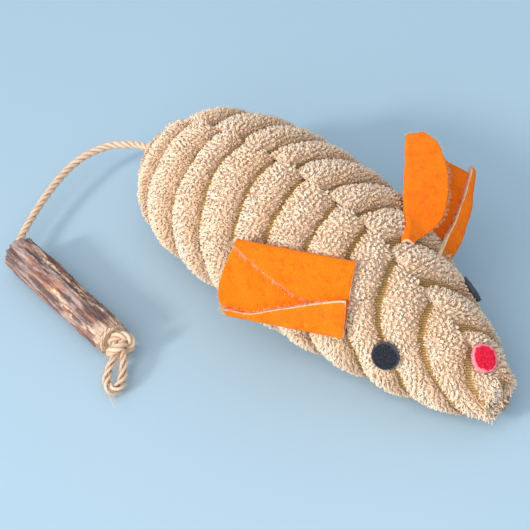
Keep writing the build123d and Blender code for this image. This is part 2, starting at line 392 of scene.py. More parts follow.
def wood_finish():
    """Pale cut wood with fine rings round the stick's axis and saw marks."""
    s = settings().wood
    f = Finish("cut_wood", Roughness=0.7)
    rings = f.add("ShaderNodeTexWave", {"wave_type": "RINGS", "rings_direction": "Y"}, Scale=420.0)
    f.feed(rings.inputs["Vector"], f.add("ShaderNodeVectorMath", {"operation": "SUBTRACT"}, _0=f.place(),
                                         _1=tuple(STICK_NEAR_END * MM)).outputs[0])
    rings.inputs["Distortion"].default_value = 2.0
    grain = f.cloud(1500.0, 5.0)
    colour = f.mix(rings.outputs["Fac"], s.wood_colour, s.wood_light)
    f.bump(f.sum(grain, rings.outputs["Fac"]), 0.12)
    return f.finish(f.mix(f.sum(grain, 0.4, "MULTIPLY"), colour, s.bark_light), f.spread(grain, 0.6, 0.85))


def floor_finish():
    """A plain pale board with the faintest unevenness."""
    s = settings().stage
    f = Finish("pale_board", Roughness=0.75)
    faint = f.cloud(9.0, 2.0)
    darker = tuple(0.97 * c for c in s.floor_colour)
    f.bump(f.cloud(900.0, 2.0), 0.02, 0.3)
    return f.finish(f.mix(faint, darker, s.floor_colour), f.spread(faint, 0.7, 0.8))


def finish_named(name, make):
    """A material that several pieces share, made the first time it is asked for."""
    return bpy.data.materials.get(name) or make()


def give(piece, *materials):
    """Gives a piece its materials, one for each slot."""
    for material in materials:
        piece.data.materials.append(material)


# ---- The body's surface ------------------------------------------------------------------------


class BodyForm:
    """The body's outer surface, read off the frame's skin as radii about its middle line.

    A place on it is a distance along from the nose and an angle down from the back seam, in radians.
    """

    ROW_STEP = 1.0
    ANGLE_STEP = math.radians(4)
    CAP_DEPTH = 0.5
    CAP_ROWS = 6

    def __init__(self):
        self.tree = self.skin_tree()
        low, high = (np.array(corner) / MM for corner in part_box("left_body_panel"))
        ys = np.arange(low[1] + 0.1, high[1] - 0.05, self.ROW_STEP)
        self.angles = np.arange(0, math.pi + self.ANGLE_STEP / 2, self.ANGLE_STEP)
        middle = np.array([self.middle_height(y) for y in ys])
        radii = np.array([[self.radius(y, z, a) for a in self.angles] for y, z in zip(ys, middle)])
        for _ in range(6):
            radii = np.maximum(radii, self.blurred(radii))
        self.join_caps(ys, middle, self.blurred(radii))

    @staticmethod
    def skin_tree():
        """A search tree over the sewn skin: both panels and the threads in the seam between them."""
        points, faces = [], []
        for node in SKIN_NODES:
            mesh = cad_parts[node].data
            start = len(points)
            points += [v.co.copy() for v in mesh.vertices]
            faces += [[start + i for i in p.vertices] for p in mesh.polygons]
        return BVHTree.FromPolygons(points, faces)

    def hit(self, start, heading):
        """Where a line from outside first meets the skin, in millimetres."""
        place = self.tree.ray_cast(Vector(start) * MM, Vector(heading))[0]
        return None if place is None else np.array(place) / MM

    def middle_height(self, y):
        """Half way between the back and the belly at y."""
        top, bottom = self.hit((0.1, y, 90), (0, 0, -1)), self.hit((0.1, y, -40), (0, 0, 1))
        return (top[2] + bottom[2]) / 2

    def radius(self, y, middle, angle):
        """How far the skin stands from the middle line at an angle from the back seam."""
        out = np.array((math.sin(angle) + 1e-4, 0, math.cos(angle)))
        centre = np.array((0, y, middle))
        found = self.hit(centre + out * 90, -out)
        return 0.0 if found is None else float(np.linalg.norm(found - centre))

    @staticmethod
    def blurred(radii):
        """Radii averaged with their neighbours, which fills the pockets of the eyes, nose and stitches."""
        wide = np.pad(radii, 2, mode="edge")
        rows = sum(wide[i : i + radii.shape[0]] for i in range(5)) / 5
        return sum(rows[:, i : i + radii.shape[1]] for i in range(5)) / 5

    def join_caps(self, ys, middle, radii):
        """Rounds off both ends, and measures along the surface from the nose."""
        turns = np.linspace(0, math.pi / 2, self.CAP_ROWS + 1)[1:]
        nose_y, rear_y = ys[0] - self.CAP_DEPTH * np.sin(turns), ys[-1] + self.CAP_DEPTH * np.sin(turns)
        shrink = np.maximum(np.cos(turns), 0.02)[:, None]
        self.y = np.concatenate((nose_y[::-1], ys, rear_y))
        self.middle = np.pad(middle, len(turns), mode="edge")
        self.radii = np.concatenate(((radii[0] * shrink)[::-1], radii, radii[-1] * shrink))
        mean = self.radii.mean(axis=1)
        steps = np.hypot(np.diff(self.y), np.diff(mean))
        self.along = np.concatenate(((0.0,), np.cumsum(steps)))
        self.length = self.along[-1]

    def y_at(self, along):
        """Place along Y."""
        return np.interp(along, self.along, self.y)

    def radius_at(self, along, angle):
        """Radius at each place, between the rows and columns read off the skin."""
        row = np.interp(along, self.along, np.arange(len(self.along)))
        column = np.clip(np.asarray(angle) / self.ANGLE_STEP, 0, len(self.angles) - 1.001)
        r, c = np.minimum(row.astype(int), len(self.y) - 2), column.astype(int)
        p, q = row - r, column - c
        t = self.radii
        near = t[r, c] * (1 - q) + t[r, c + 1] * q
        far = t[r + 1, c] * (1 - q) + t[r + 1, c + 1] * q
        return near * (1 - p) + far * p

    def place(self, along, angle, side):
        """Points on the surface."""
        radius = self.radius_at(along, angle)
        middle = np.interp(along, self.along, self.middle)
        across, up = side * radius * np.sin(angle), middle + radius * np.cos(angle)
        return np.stack((across, self.y_at(along), up), -1)

    def axes(self, along, angle, side):
        """At each place: the direction out, towards the tail, and down round the side."""
        reach, turn = 0.8, 0.05
        ahead = self.place(np.minimum(along + reach, self.length), angle, side)
        behind = self.place(np.maximum(along - reach, 0), angle, side)
        below = self.place(along, np.minimum(angle + turn, math.pi), side)
        above = self.place(along, np.maximum(angle - turn, 0), side)
        tailwards, downwards = unit(ahead - behind), unit(below - above)
        out = unit(np.cross(downwards, tailwards) * side)
        return out, tailwards, downwards


def groove_lines(side, angle):
    """Where each groove lies along Y at these angles: one row for each groove."""
    top, sweep, late = (np.array(column)[:, None] for column in zip(*GROOVES[side]))
    degrees = np.degrees(angle)[None, :]
    share = np.minimum(degrees, 90) / 90
    wander = 0.35 * np.sin(degrees * 0.11 + top) * np.minimum(share * 3, 1)
    return top - sweep * share**late - 0.035 * np.maximum(degrees - 90, 0) + wander


def wale(side, y, angle):
    """At each place: distance to the nearest groove's edge, half the wale's width, and which way it is."""
    lines = groove_lines(side, angle)
    behind = np.clip((lines > y).sum(0), 1, len(lines) - 1)
    each = np.arange(len(y))
    upper, lower = lines[behind - 1, each], lines[behind, each]
    half = (upper - lower) / 2
    offset = y - (upper + lower) / 2
    groove_half = np.interp(y, (-24.0, -14.0), (0.9, 0.62))
    return half - groove_half - np.abs(offset), half - groove_half, np.sign(offset)


def crown(gap, half):
    """How high a wale stands, from 0 on the groove's flat floor to 1 on its crown."""
    share = np.clip(gap / half, 0, 1)
    return np.sqrt(1 - (1 - share) ** 2.2)


def seam_dip(point_x):
    """How deep the seam pulls the cloth in, from 0 to 1."""
    return np.exp(-((point_x / 1.3) ** 2))


def ground_lift(height, dip, y):
    """The ground cloth's level under the body's outer form: fuller at the rear, pulled in at the nose."""
    fullness = np.interp(y, (-57.0, -50.0, -38.0, 38.0, 52.0), (-0.6, -0.2, 0.0, 0.0, 1.1))
    depths = (0.8, 1.2, 1.9, HEAD_GROOVE_DEPTH, GROOVE_DEPTH)
    depth = np.interp(y, (-54.0, -48.0, -38.0, -24.0, -12.0), depths)
    return -CROWN_DEPTH - (depth - CROWN_DEPTH) * (1 - height) - 0.3 * dip * height + fullness


def rolled(form, s, a, side):
    """Points on the ground cloth as it rolls over the wales."""
    surface = form.place(s, a, side)
    out, _, _ = form.axes(s, a, side)
    gap, half, _ = wale(side, surface[:, 1], a)
    room = form.radius_at(s, a) * 0.55
    lift = ground_lift(crown(gap, half), seam_dip(surface[:, 0]), surface[:, 1])
    lift -= TAIL_DIMPLE * np.exp(-((np.linalg.norm(surface - TAIL_EXIT, axis=1) / TAIL_DIMPLE_REACH) ** 2))
    points = surface + out * np.maximum(lift, -room)[:, None]
    points[:, 2] = np.maximum(points[:, 2], 0.02)
    return points


def roll_axes(form, s, a, side):
    """The wales' own directions at each place: out, towards the tail, and down round the side."""
    reach, turn = 0.3, 0.02
    ahead = rolled(form, np.minimum(s + reach, form.length), a, side)
    behind = rolled(form, np.maximum(s - reach, 0), a, side)
    below = rolled(form, s, np.minimum(a + turn, math.pi), side)
    above = rolled(form, s, np.maximum(a - turn, 0), side)
    tailwards, downwards = unit(ahead - behind), unit(below - above)
    return unit(np.cross(downwards, tailwards) * side), tailwards, downwards


# ---- Operators: stage --------------------------------------------------------------------------


class MOUSETOY_OT_stage(bpy.types.Operator):
    """Make the pale floor, the soft studio light and the camera"""

    bl_idname = "mouse_toy.stage"
    bl_label = "Stage"

    FLOOR_HALF = 3000.0
    KEY_FROM = Vector((-0.88, 0.13, 0.45))
    KEY_COLOUR = (1.0, 0.955, 0.89)
    OVERHEAD_PLACE = Vector((-0.40, -0.14, 0.38))
    OVERHEAD_COLOUR = (1.0, 0.90, 0.87)
    OVERHEAD_SIZE = 0.6
    SKY_COLOUR = (0.80, 0.90, 1.0, 1.0)
    AIM = Vector((0, 0, 0.018))

    def execute(self, context):
        s = settings().stage
        scene = context.scene
        scene.view_settings.view_transform = "Standard"
        side = self.FLOOR_HALF
        corners = [(-side, -side, 0), (side, -side, 0), (side, side, 0), (-side, side, 0)]
        floor = mesh_object("floor", corners, [(0, 1, 2, 3)], smooth=False)
        give(floor, floor_finish())

        sun = bpy.data.lights.new("key_light", "SUN")
        sun.energy = s.key_strength
        sun.angle = s.key_softness
        sun.color = self.KEY_COLOUR
        key = bpy.data.objects.new("key_light", sun)
        key.rotation_euler = self.KEY_FROM.to_track_quat("Z", "Y").to_euler()
        scene.collection.objects.link(key)

        fill = bpy.data.lights.new("soft_overhead", "AREA")
        fill.energy = s.fill_strength
        fill.size = self.OVERHEAD_SIZE
        fill.color = self.OVERHEAD_COLOUR
        overhead = bpy.data.objects.new("soft_overhead", fill)
        overhead.location = self.OVERHEAD_PLACE
        overhead.rotation_euler = overhead.location.to_track_quat("Z", "Y").to_euler()
        scene.collection.objects.link(overhead)

        world = bpy.data.worlds.new("studio")
        world.use_nodes = True
        backdrop = world.node_tree.nodes["Background"]
        backdrop.inputs["Color"].default_value = self.SKY_COLOUR
        backdrop.inputs["Strength"].default_value = s.sky_strength
        scene.world = world

        azimuth, elevation = s.camera_azimuth, s.camera_elevation
        back = Vector((
            math.sin(azimuth) * math.cos(elevation),
            -math.cos(azimuth) * math.cos(elevation),
            math.sin(elevation),
        ))
        lens = bpy.data.cameras.new("camera")
        lens.lens = s.camera_lens
        lens.clip_start = 0.01
        lens.clip_end = 20.0
        camera = bpy.data.objects.new("camera", lens)
        camera.location = self.AIM + back * s.camera_distance
        facing = (-back).to_track_quat("-Z", "Y")
        turned = Euler((s.camera_tilt, s.camera_pan, 0)).to_quaternion()
        camera.rotation_euler = (facing @ turned).to_euler()
        scene.collection.objects.link(camera)
        scene.camera = camera
        return {"FINISHED"}


# ---- Operators: cord, knot and loop ------------------------------------------------------------


def spline_points(name, route):
    """Points along a smooth curve whose control points are the route's, in millimetres."""
    curve = bpy.data.curves.new(name, "CURVE")
    curve.dimensions = "3D"
    curve.resolution_u = 24
    line = curve.splines.new("NURBS")
    line.points.add(len(route) - 1)
    for point, place in zip(line.points, route):
        point.co = (*(c * MM for c in place), 1.0)
    line.order_u = 3
    line.use_endpoint_u = True
    guide = bpy.data.objects.new(name, curve)
    bpy.context.scene.collection.objects.link(guide)
    bpy.context.view_layer.update()
    mesh = bpy.data.meshes.new_from_object(guide)
    points = np.array([v.co for v in mesh.vertices]) / MM
    bpy.data.meshes.remove(mesh)
    bpy.data.objects.remove(guide)
    return points


def even_points(points, step):
    """The same line, with points a step apart."""
    lengths = np.concatenate(((0.0,), np.cumsum(np.linalg.norm(np.diff(points, axis=0), axis=1))))
    wanted = np.linspace(0, lengths[-1], max(int(lengths[-1] / step), 4) + 1)
    return np.stack([np.interp(wanted, lengths, points[:, i]) for i in range(3)], -1), wanted


def line_axes(points):
    """For each point of a line: its heading and two directions across it that don't twist."""
    heading = unit(np.gradient(points, axis=0))
    across = np.zeros_like(heading)
    seed = np.cross(heading[0], (0.0, 0.0, 1.0))
    if np.linalg.norm(seed) < 0.1:
        seed = np.cross(heading[0], (1.0, 0.0, 0.0))
    across[0] = unit(seed)
    for i in range(1, len(points)):
        moved = across[i - 1] - heading[i] * (across[i - 1] @ heading[i])
        across[i] = unit(moved)
    return heading, across, np.cross(heading, across)


def tube(points, radius, sides, relief=None):
    """Points and triangles for a round tube along a line, closed at both ends."""
    _, first, second = line_axes(points)
    turn = np.linspace(0, 2 * math.pi, sides, endpoint=False)
    radius = np.broadcast_to(np.asarray(radius, float).reshape(-1, 1), (len(points), sides)).copy()
    if relief is not None:
        radius *= relief(len(points), turn)
    ring = first[:, None] * np.cos(turn)[None, :, None] + second[:, None] * np.sin(turn)[None, :, None]
    body = points[:, None] + ring * radius[..., None]
    faces = grid_faces(len(points), sides, around=True)
    start, end = len(points) * sides, len(points) * sides + 1
    body = np.concatenate((body.reshape(-1, 3), points[:1], points[-1:]))
    c = np.arange(sides)
    n = (c + 1) % sides
    last = (len(points) - 1) * sides
    first_cap = np.stack((np.full(sides, start), n, c), -1)
    last_cap = np.stack((np.full(sides, end), last + c, last + n), -1)
    return body, np.concatenate((split_faces(faces), first_cap, last_cap))


def split_faces(quads):
    """Triangles from four-cornered faces."""
    return np.concatenate((quads[:, (0, 1, 2)], quads[:, (0, 2, 3)]))


def fibre_relief(rng, ridges=5, depth=0.10):
    """A strand's relief: fibres that run nearly along it, some thicker than others."""
    phases = rng.uniform(0, 2 * math.pi, ridges)
    counts = rng.integers(3, 9, ridges)
    drift = rng.uniform(-0.25, 0.25, ridges)

    def relief(length, turn):
        step = np.arange(length)[:, None]
        waves = sum(
            np.sin(counts[i] * turn[None, :] + phases[i] + drift[i] * step + np.sin(step * 0.21 + i))
            for i in range(ridges)
        )
        return 1 + depth * waves / math.sqrt(ridges)

    return relief


THIRD_TURNS = (0.0, 2 * math.pi / 3, 4 * math.pi / 3)
FLOOR_GAP = 0.08


def taper_faces(steps, count):
    """Triangles of many three-sided tapers, each with its rings first and its tip last."""
    faces = [(0, 2, 1)]
    for k in range(steps - 1):
        for side in range(3):
            a, b = 3 * k + side, 3 * k + (side + 1) % 3
            faces += [(a, b, b + 3), (a, b + 3, a + 3)]
    top = 3 * (steps - 1)
    faces += [(top + side, top + (side + 1) % 3, 3 * steps) for side in range(3)]
    starts = np.arange(count)[:, None, None] * (3 * steps + 1)
    return (starts + np.array(faces)[None]).reshape(-1, 3)


def hairs(roots, headings, lengths, thickness, bends, steps=4):
    """Fine tapered hairs from each root, as triangles. Bends are sideways vectors."""
    roots, headings = np.asarray(roots, float), unit(headings)
    count = len(roots)
    helper = np.where(np.abs(headings[:, 2:3]) < 0.9, (0.0, 0.0, 1.0), (1.0, 0.0, 0.0))
    first = unit(np.cross(headings, helper))
    second = np.cross(headings, first)
    rows = []
    for k in range(steps):
        t = k / steps
        spine = roots + headings * (lengths * t)[:, None] + bends * (t * t)
        width = thickness * (1 - 0.7 * t)
        for turn in THIRD_TURNS:
            rows.append(spine + (first * math.cos(turn) + second * math.sin(turn)) * width[:, None])
    rows.append(roots + headings * lengths[:, None] + bends)
    points = np.stack(rows, 1)
    tips = np.tile(np.append(np.repeat(np.arange(steps) / steps, 3), 1.0), count)
    return points.reshape(-1, 3), taper_faces(steps, count), tips


class Bundle:
    """Triangle meshes gathered into one piece, with a colour for each point."""

    def __init__(self):
        self.points, self.faces, self.colours, self.count = [], [], [], 0

    def add(self, points, faces, colours):
        self.points.append(points)
        self.faces.append(np.asarray(faces) + self.count)
        self.colours.append(np.broadcast_to(colours, (len(points), 3)))
        self.count += len(points)

    def mesh(self, name):
        return mesh_object(name, np.concatenate(self.points), np.concatenate(self.faces))

    def piece(self, name, layer, material):
        made = self.mesh(name)
        paint(made, layer, np.concatenate(self.colours))
        give(made, material)
        return made


PLY_SIDES = 10


def twisted_cord(bundle, points, lengths, diameter, rng, plies=3, lay=6.6, opening=None):
    """Adds plies twisted round a line. Opening spreads them apart along it, as where a cord unlays."""
    _, first, second = line_axes(points)
    ply_radius = 0.464 * diameter / 2 * 1.06
    orbit = diameter / 2 - ply_radius
    spread_out = np.ones(len(points)) if opening is None else opening
    for ply in range(plies):
        turn = 2 * math.pi * (ply / plies) + 2 * math.pi * lengths / lay
        out = first * np.cos(turn)[:, None] + second * np.sin(turn)[:, None]
        centre = points + out * (orbit * spread_out)[:, None]
        taper = np.clip(np.minimum(lengths, lengths[-1] - lengths) / 0.5 + 0.55, 0, 1)
        body, faces = tube(centre, ply_radius * taper, PLY_SIDES, fibre_relief(rng))
        inner = np.concatenate((centre.repeat(PLY_SIDES, axis=0), centre[:1], centre[-1:]))
        outward = np.concatenate((out.repeat(PLY_SIDES, axis=0), out[:1], out[-1:]))
        # Painted shade: each ply is paler where it faces out of the cord and darker where it turns into the
        # grooves between the plies.
        lit = np.clip(0.5 + 0.62 * np.einsum("ij,ij->i", unit(body - inner + 1e-9), outward), 0, 1)
        tone = np.full(len(body), rng.uniform(0, 1))
        colours = np.stack((lit, tone, np.zeros(len(body))), -1)
        bundle.add(body, faces, colours)


def stray_fibres(bundle, points, rng, count, reach, radius):
    """Adds fine fibres that stand off a cord."""
    heading, first, second = line_axes(points)
    at = rng.integers(2, len(points) - 2, count)
    turn = rng.uniform(0, 2 * math.pi, count)
    out = first[at] * np.cos(turn)[:, None] + second[at] * np.sin(turn)[:, None]
    way = rng.choice((-1, 1), count)[:, None]
    heads = unit(out * 0.6 + heading[at] * way + rng.normal(0, 0.25, (count, 3)))
    lengths = rng.uniform(0.4, 1.0, count) * reach
    bends = rng.normal(0, 0.25, (count, 3)) * lengths[:, None]
    roots = points[at] + out * radius * 0.85
    made, faces, tips = hairs(roots, heads, lengths, np.full(count, 0.045), bends)
    made[:, 2] = np.maximum(made[:, 2], FLOOR_GAP)
    bundle.add(made, faces, np.stack((np.full(len(made), 1.0), tips * 0.2, tips), -1))


class MOUSETOY_OT_tail_cord(bpy.types.Operator):
    """Lay the tail cord along its route, twisted from jute plies, with its knot and loop"""

    bl_idname = "mouse_toy.tail_cord"
    bl_label = "Tail cord, knot and loop"

    def execute(self, context):
        s = settings().cord
        rng = np.random.default_rng(7)
        jute = finish_named("twisted_jute", jute_finish)
        route = spline_points("tail_route", TAIL_ROUTE)
        points, lengths = even_points(route, 0.28)
        bundle = Bundle()
        twisted_cord(bundle, points, lengths, s.diameter / MM, rng, lay=s.lay / MM)
        stray_fibres(bundle, points[: int(len(points) * 0.62)], rng, 420, 1.6, s.diameter / MM / 2)
        cord = bundle.piece("tail_twisted_cord", "strand", jute)
        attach(cord, "tail")
        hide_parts("tail_cord")

        knot = self.knot(jute, rng)
        loop = self.loop(jute, rng)
        return {"FINISHED"}

    @staticmethod
    def knot(jute, rng):
        """The bulky stopper knot: two turns of cord wound over each other."""
        axis = unit(STICK_FAR_END - STICK_NEAR_END)
        up = np.array((0.0, 0.0, 1.0))
        side = np.cross(axis, up)
        wrap, bulge, depth = 2.05, 0.80, 1.45
        t = np.linspace(0, 2 * math.pi, 180, endpoint=False)
        around = wrap + bulge * np.cos(3 * t)
        x = around * np.cos(2 * t)
        y = around * np.sin(2 * t)
        z = depth * np.sin(3 * t)
        line = KNOT_CENTRE + side * x[:, None] * 1.08 + up * y[:, None] * 1.04
        line = line + axis * z[:, None] * 1.05
        line = np.concatenate((line, line[:1]))
        points, lengths = even_points(line, 0.28)
        bundle = Bundle()
        twisted_cord(bundle, points, lengths, 2.3, rng, lay=6.0)
        stray_fibres(bundle, points, rng, 320, 2.8, 1.1)
        made = bundle.piece("stopper_knot", "strand", jute)
        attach(made, "tail")
        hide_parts("end_knot")
        return made

    @staticmethod
    def loop(jute, rng):
        """The small loop beyond the knot, its plies half unlaid, ending in a frayed wisp."""
        run = unit((-9.2, -7.2, -2.6))
        side = unit(np.cross((0.0, 0.0, 1.0), run))
        lift = np.cross(run, side)
        start = KNOT_CENTRE + run * 1.2
        shape = ((0.0, 0.9, 0.2), (3.4, 1.5, 0.5), (7.0, 2.1, 0.1), (10.4, 1.7, -0.1), (11.6, 0.0, -0.2),
                 (10.2, -1.6, 0.0), (7.0, -1.9, 0.3), (3.2, -1.2, 0.4), (0.0, -0.9, -0.3))
        route = [start + run * a + side * b + lift * c for a, b, c in shape]
        points, lengths = even_points(spline_points("loop_route", route), 0.25)
        share = lengths / lengths[-1]
        bundle = Bundle()
        opening = 1.0 + 0.9 * np.sin(math.pi * share) ** 2
        twisted_cord(bundle, points, lengths, 1.75, rng, lay=8.5, opening=opening)
        stray_fibres(bundle, points, rng, 320, 2.8, 0.9)
        fray = 26
        roots = np.repeat(points[len(points) // 2][None], fray, axis=0) + rng.normal(0, 0.5, (fray, 3))
        roots[:, 2] = np.maximum(roots[:, 2], 0.5)
        heads = unit(run + rng.normal(0, 0.28, (fray, 3)) * np.array((1.0, 1.0, 0.5)))
        long_wisp = np.arange(fray) % 4 == 0
        reach = np.where(long_wisp, rng.uniform(4.0, 7.5, fray), rng.uniform(1.2, 3.0, fray))
        bends = rng.normal(0, 0.4, (fray, 3)) * np.where(long_wisp, 4.0, 1.0)[:, None]
        roots = np.where(long_wisp[:, None], points[rng.integers(3, len(points) - 3, fray)], roots)
        made, faces, tips = hairs(roots, heads, reach, np.where(long_wisp, 0.11, 0.08), bends, steps=9)
        made[:, 2] = np.maximum(made[:, 2], FLOOR_GAP)
        bundle.add(made, faces, np.stack((np.ones(len(made)), tips * 0.2, tips), -1))
        loop = bundle.piece("end_loop_cord", "strand", jute)
        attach(loop, "tail")
        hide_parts("end_loop")
        return loop


# ---- Operators: chew stick ---------------------------------------------------------------------


WOBBLE_FROM = 1.5


class MOUSETOY_OT_chew_stick(bpy.types.Operator):
    """Make the drilled chew stick: pale wood with ridged, partly peeled bark round it"""

    bl_idname = "mouse_toy.chew_stick"
    bl_label = "Chew stick"

    ROWS = 190
    SIDES = 110

    def execute(self, context):
        axis = unit(STICK_FAR_END - STICK_NEAR_END)
        up = np.array((0.0, 0.0, 1.0))
        side = np.cross(up, axis)
        length = np.linalg.norm(STICK_FAR_END - STICK_NEAR_END)
        self.bark(axis, side, up, length)
        self.wood(axis, side, up, length)
        return {"FINISHED"}

    def bark(self, axis, side, up, length):
        """The bark sleeve, with ridges along it, peeled strips and a chipped far end."""
        turn = np.linspace(0, 2 * math.pi, self.SIDES, endpoint=False)
        share = np.linspace(0, 1, self.ROWS)
        outer = np.zeros((self.ROWS, self.SIDES))
        shade = np.zeros((self.ROWS, self.SIDES, 3))
        for i, along in enumerate(share * length):
            for j, angle in enumerate(turn):
                x, y = math.cos(angle), math.sin(angle)
                ridge = noise.fractal(Vector((x * 3.6, y * 3.6, along * 0.085)), 0.6, 2.1, 5)
                fine = noise.fractal(Vector((x * 11.0, y * 11.0, along * 0.30 + 7)), 0.6, 2.0, 3)
                peel = noise.noise(Vector((x * 1.5 + 4, y * 1.5, along * 0.06 + 3)))
                chip = noise.noise(Vector((x * 2.4, y * 2.4, along * 0.5 + 11)))
                peeled = min(max((peel + 0.45 * fine + 0.2 * ridge - 0.33) * 8, 0), 1)
                end = max(0.0, 1 - (length - along) / (3.2 + 2.4 * chip))
                peeled = max(peeled, min(end * 2, 1) * 0.6)
                outer[i, j] = STICK_RADIUS - 0.32 + 0.55 * ridge + 0.22 * fine - 0.42 * peeled
                crack = min(max(0.72 + 2.0 * ridge + 0.9 * fine, 0), 1)
                shade[i, j] = (max(crack, peeled * 0.85), peeled, 0)
        outer = np.minimum(outer, STICK_RADIUS + 0.05)
        ring = side * np.cos(turn)[:, None] + up * np.sin(turn)[:, None]
        ragged = 0.35 * np.sin(turn * 7 + 1) * np.sin(turn * 3) + 0.2 * np.sin(turn * 17)
        reach = (share * length)[:, None] + ragged[None] * (np.abs(share - 0.5) * 2)[:, None] ** 12 * 0.7
        shell = STICK_NEAR_END + axis * reach[..., None] + ring[None] * outer[..., None]
        core = STICK_RADIUS - BARK_THICKNESS + 0.04
        inner = STICK_NEAR_END + axis * reach[..., None] + ring[None] * core
        inner = inner[::-1]
        points = np.concatenate((shell, inner, shell[:1])).reshape(-1, 3)
        colours = np.concatenate((shade, shade[::-1], shade[:1])).reshape(-1, 3)
        points[:, 2] = np.maximum(points[:, 2], 0.04)
        faces = grid_faces(2 * self.ROWS + 1, self.SIDES, around=True)
        made = mesh_object("stick_bark_sleeve", points, faces)
        paint(made, "bark", colours)
        weld(made)
        give(made, finish_named("dry_bark", bark_finish))
        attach(made, "stick")
        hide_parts("stick_bark")

    def wood(self, axis, side, up, length):
        """The wood core with its softened sawn ends and the drilled bore."""
        core, sides = STICK_RADIUS - BARK_THICKNESS, 72
        turn = np.linspace(0, 2 * math.pi, sides, endpoint=False)
        ring = side * np.cos(turn)[:, None] + up * np.sin(turn)[:, None]
        profile = [(BORE_RADIUS, 0.0), (BORE_RADIUS + 0.25, -0.25)]
        profile += [(r, -0.3 - 0.1 * math.sin(r * 2.3)) for r in np.linspace(1.8, core - 0.5, 9)]
        profile += [(core - 0.2, -0.22), (core, 0.05)]
        far = [(r, length - a) for r, a in reversed(profile)]
        loop = profile + far + profile[:1]
        wobble = 0.05 * np.sin(turn * 5) + 0.04 * np.sin(turn * 9 + 1)
        rows = []
        for r, a in loop:
            sawn = a + wobble * (r > WOBBLE_FROM)
            rows.append(STICK_NEAR_END + axis * sawn[:, None] + ring * r)
        faces = grid_faces(len(loop), sides, around=True)
        made = mesh_object("stick_wood", np.array(rows).reshape(-1, 3), faces)
        weld(made)
        give(made, finish_named("cut_wood", wood_finish))
        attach(made, "stick")
        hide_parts("stick_core")


def weld(piece, distance=1e-6):
    """Joins points that lie on each other, and turns every face outwards."""
    work = bmesh.new()
    work.from_mesh(piece.data)
    bmesh.ops.remove_doubles(work, verts=work.verts, dist=distance)
    bmesh.ops.recalc_face_normals(work, faces=work.faces)
    work.to_mesh(piece.data)
    work.free()


# ---- Operators: plush body ---------------------------------------------------------------------


class MOUSETOY_OT_body_panels(bpy.types.Operator):
    """Sew the two body panels: the ground cloth with its wales and grooves"""

    bl_idname = "mouse_toy.body_panels"
    bl_label = "Body panels"

    ROW_STEP = 0.5
    COLUMNS = 76
    CLOTH = 0.9

    def execute(self, context):
        form = body_form()
        rows = int(form.length / self.ROW_STEP)
        along = np.linspace(0.02, form.length - 0.02, rows)
        angle = np.linspace(0.0, math.pi, self.COLUMNS)
        for side in (RIGHT, LEFT):
            s, a = (g.ravel() for g in np.meshgrid(along, angle, indexing="ij"))
            surface = form.place(s, a, side)
            out, _, _ = form.axes(s, a, side)
            gap, half, _ = wale(side, surface[:, 1], a)
            outer = rolled(form, s, a, side)
            deep = np.minimum(self.CLOTH, form.radius_at(s, a) * 0.15)
            inner = outer - out * deep[:, None]
            outer[:, 0] = side * np.maximum(outer[:, 0] * side, 0.02)
            inner[:, 0] = side * np.maximum(inner[:, 0] * side, 0.02)
            piece = self.panel(side, outer, inner, rows, crown(gap, half))
            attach(piece, "body")
            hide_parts(f"{SIDE_NAMES[side]}_body_panel")
        return {"FINISHED"}

    def panel(self, side, outer, inner, rows, height):
        """A closed cloth panel from its outer and inner faces."""
        count, columns = len(outer), self.COLUMNS
        face = grid_faces(rows, columns)
        back = face[:, ::-1] + count
        top = np.arange(rows) * columns
        bottom = top + columns - 1
        first = np.arange(columns)
        last = first + (rows - 1) * columns
        rims = []
        for line in (top, bottom, first, last):
            rims.append(np.stack((line[:-1], line[1:], line[1:] + count, line[:-1] + count), -1))
        points = np.concatenate((outer, inner))
        piece = mesh_object(f"{SIDE_NAMES[side]}_panel_cloth", points, np.concatenate((face, back, *rims)))
        paint(piece, "wale", np.tile(height, 2)[:, None].repeat(3, axis=1))
        weld(piece)
        give(piece, finish_named("plush_ground", ground_finish))
        return piece


_forms = {}


def body_form():
    """The body's surface, read off the frame once."""
    if "body" not in _forms:
        _forms["body"] = BodyForm()
    return _forms["body"]


def near_disc(points, margin):
    """True where a point lies under an eye or the nose."""
    hidden = np.zeros(len(points), bool)
    mirrored_eye = (-EYE_PLACE[0], *EYE_PLACE[1:])
    for place in (EYE_PLACE, mirrored_eye, NOSE_PLACE):
        hidden |= np.linalg.norm(points - np.array(place), axis=1) < DISC_RADIUS + margin
    return hidden


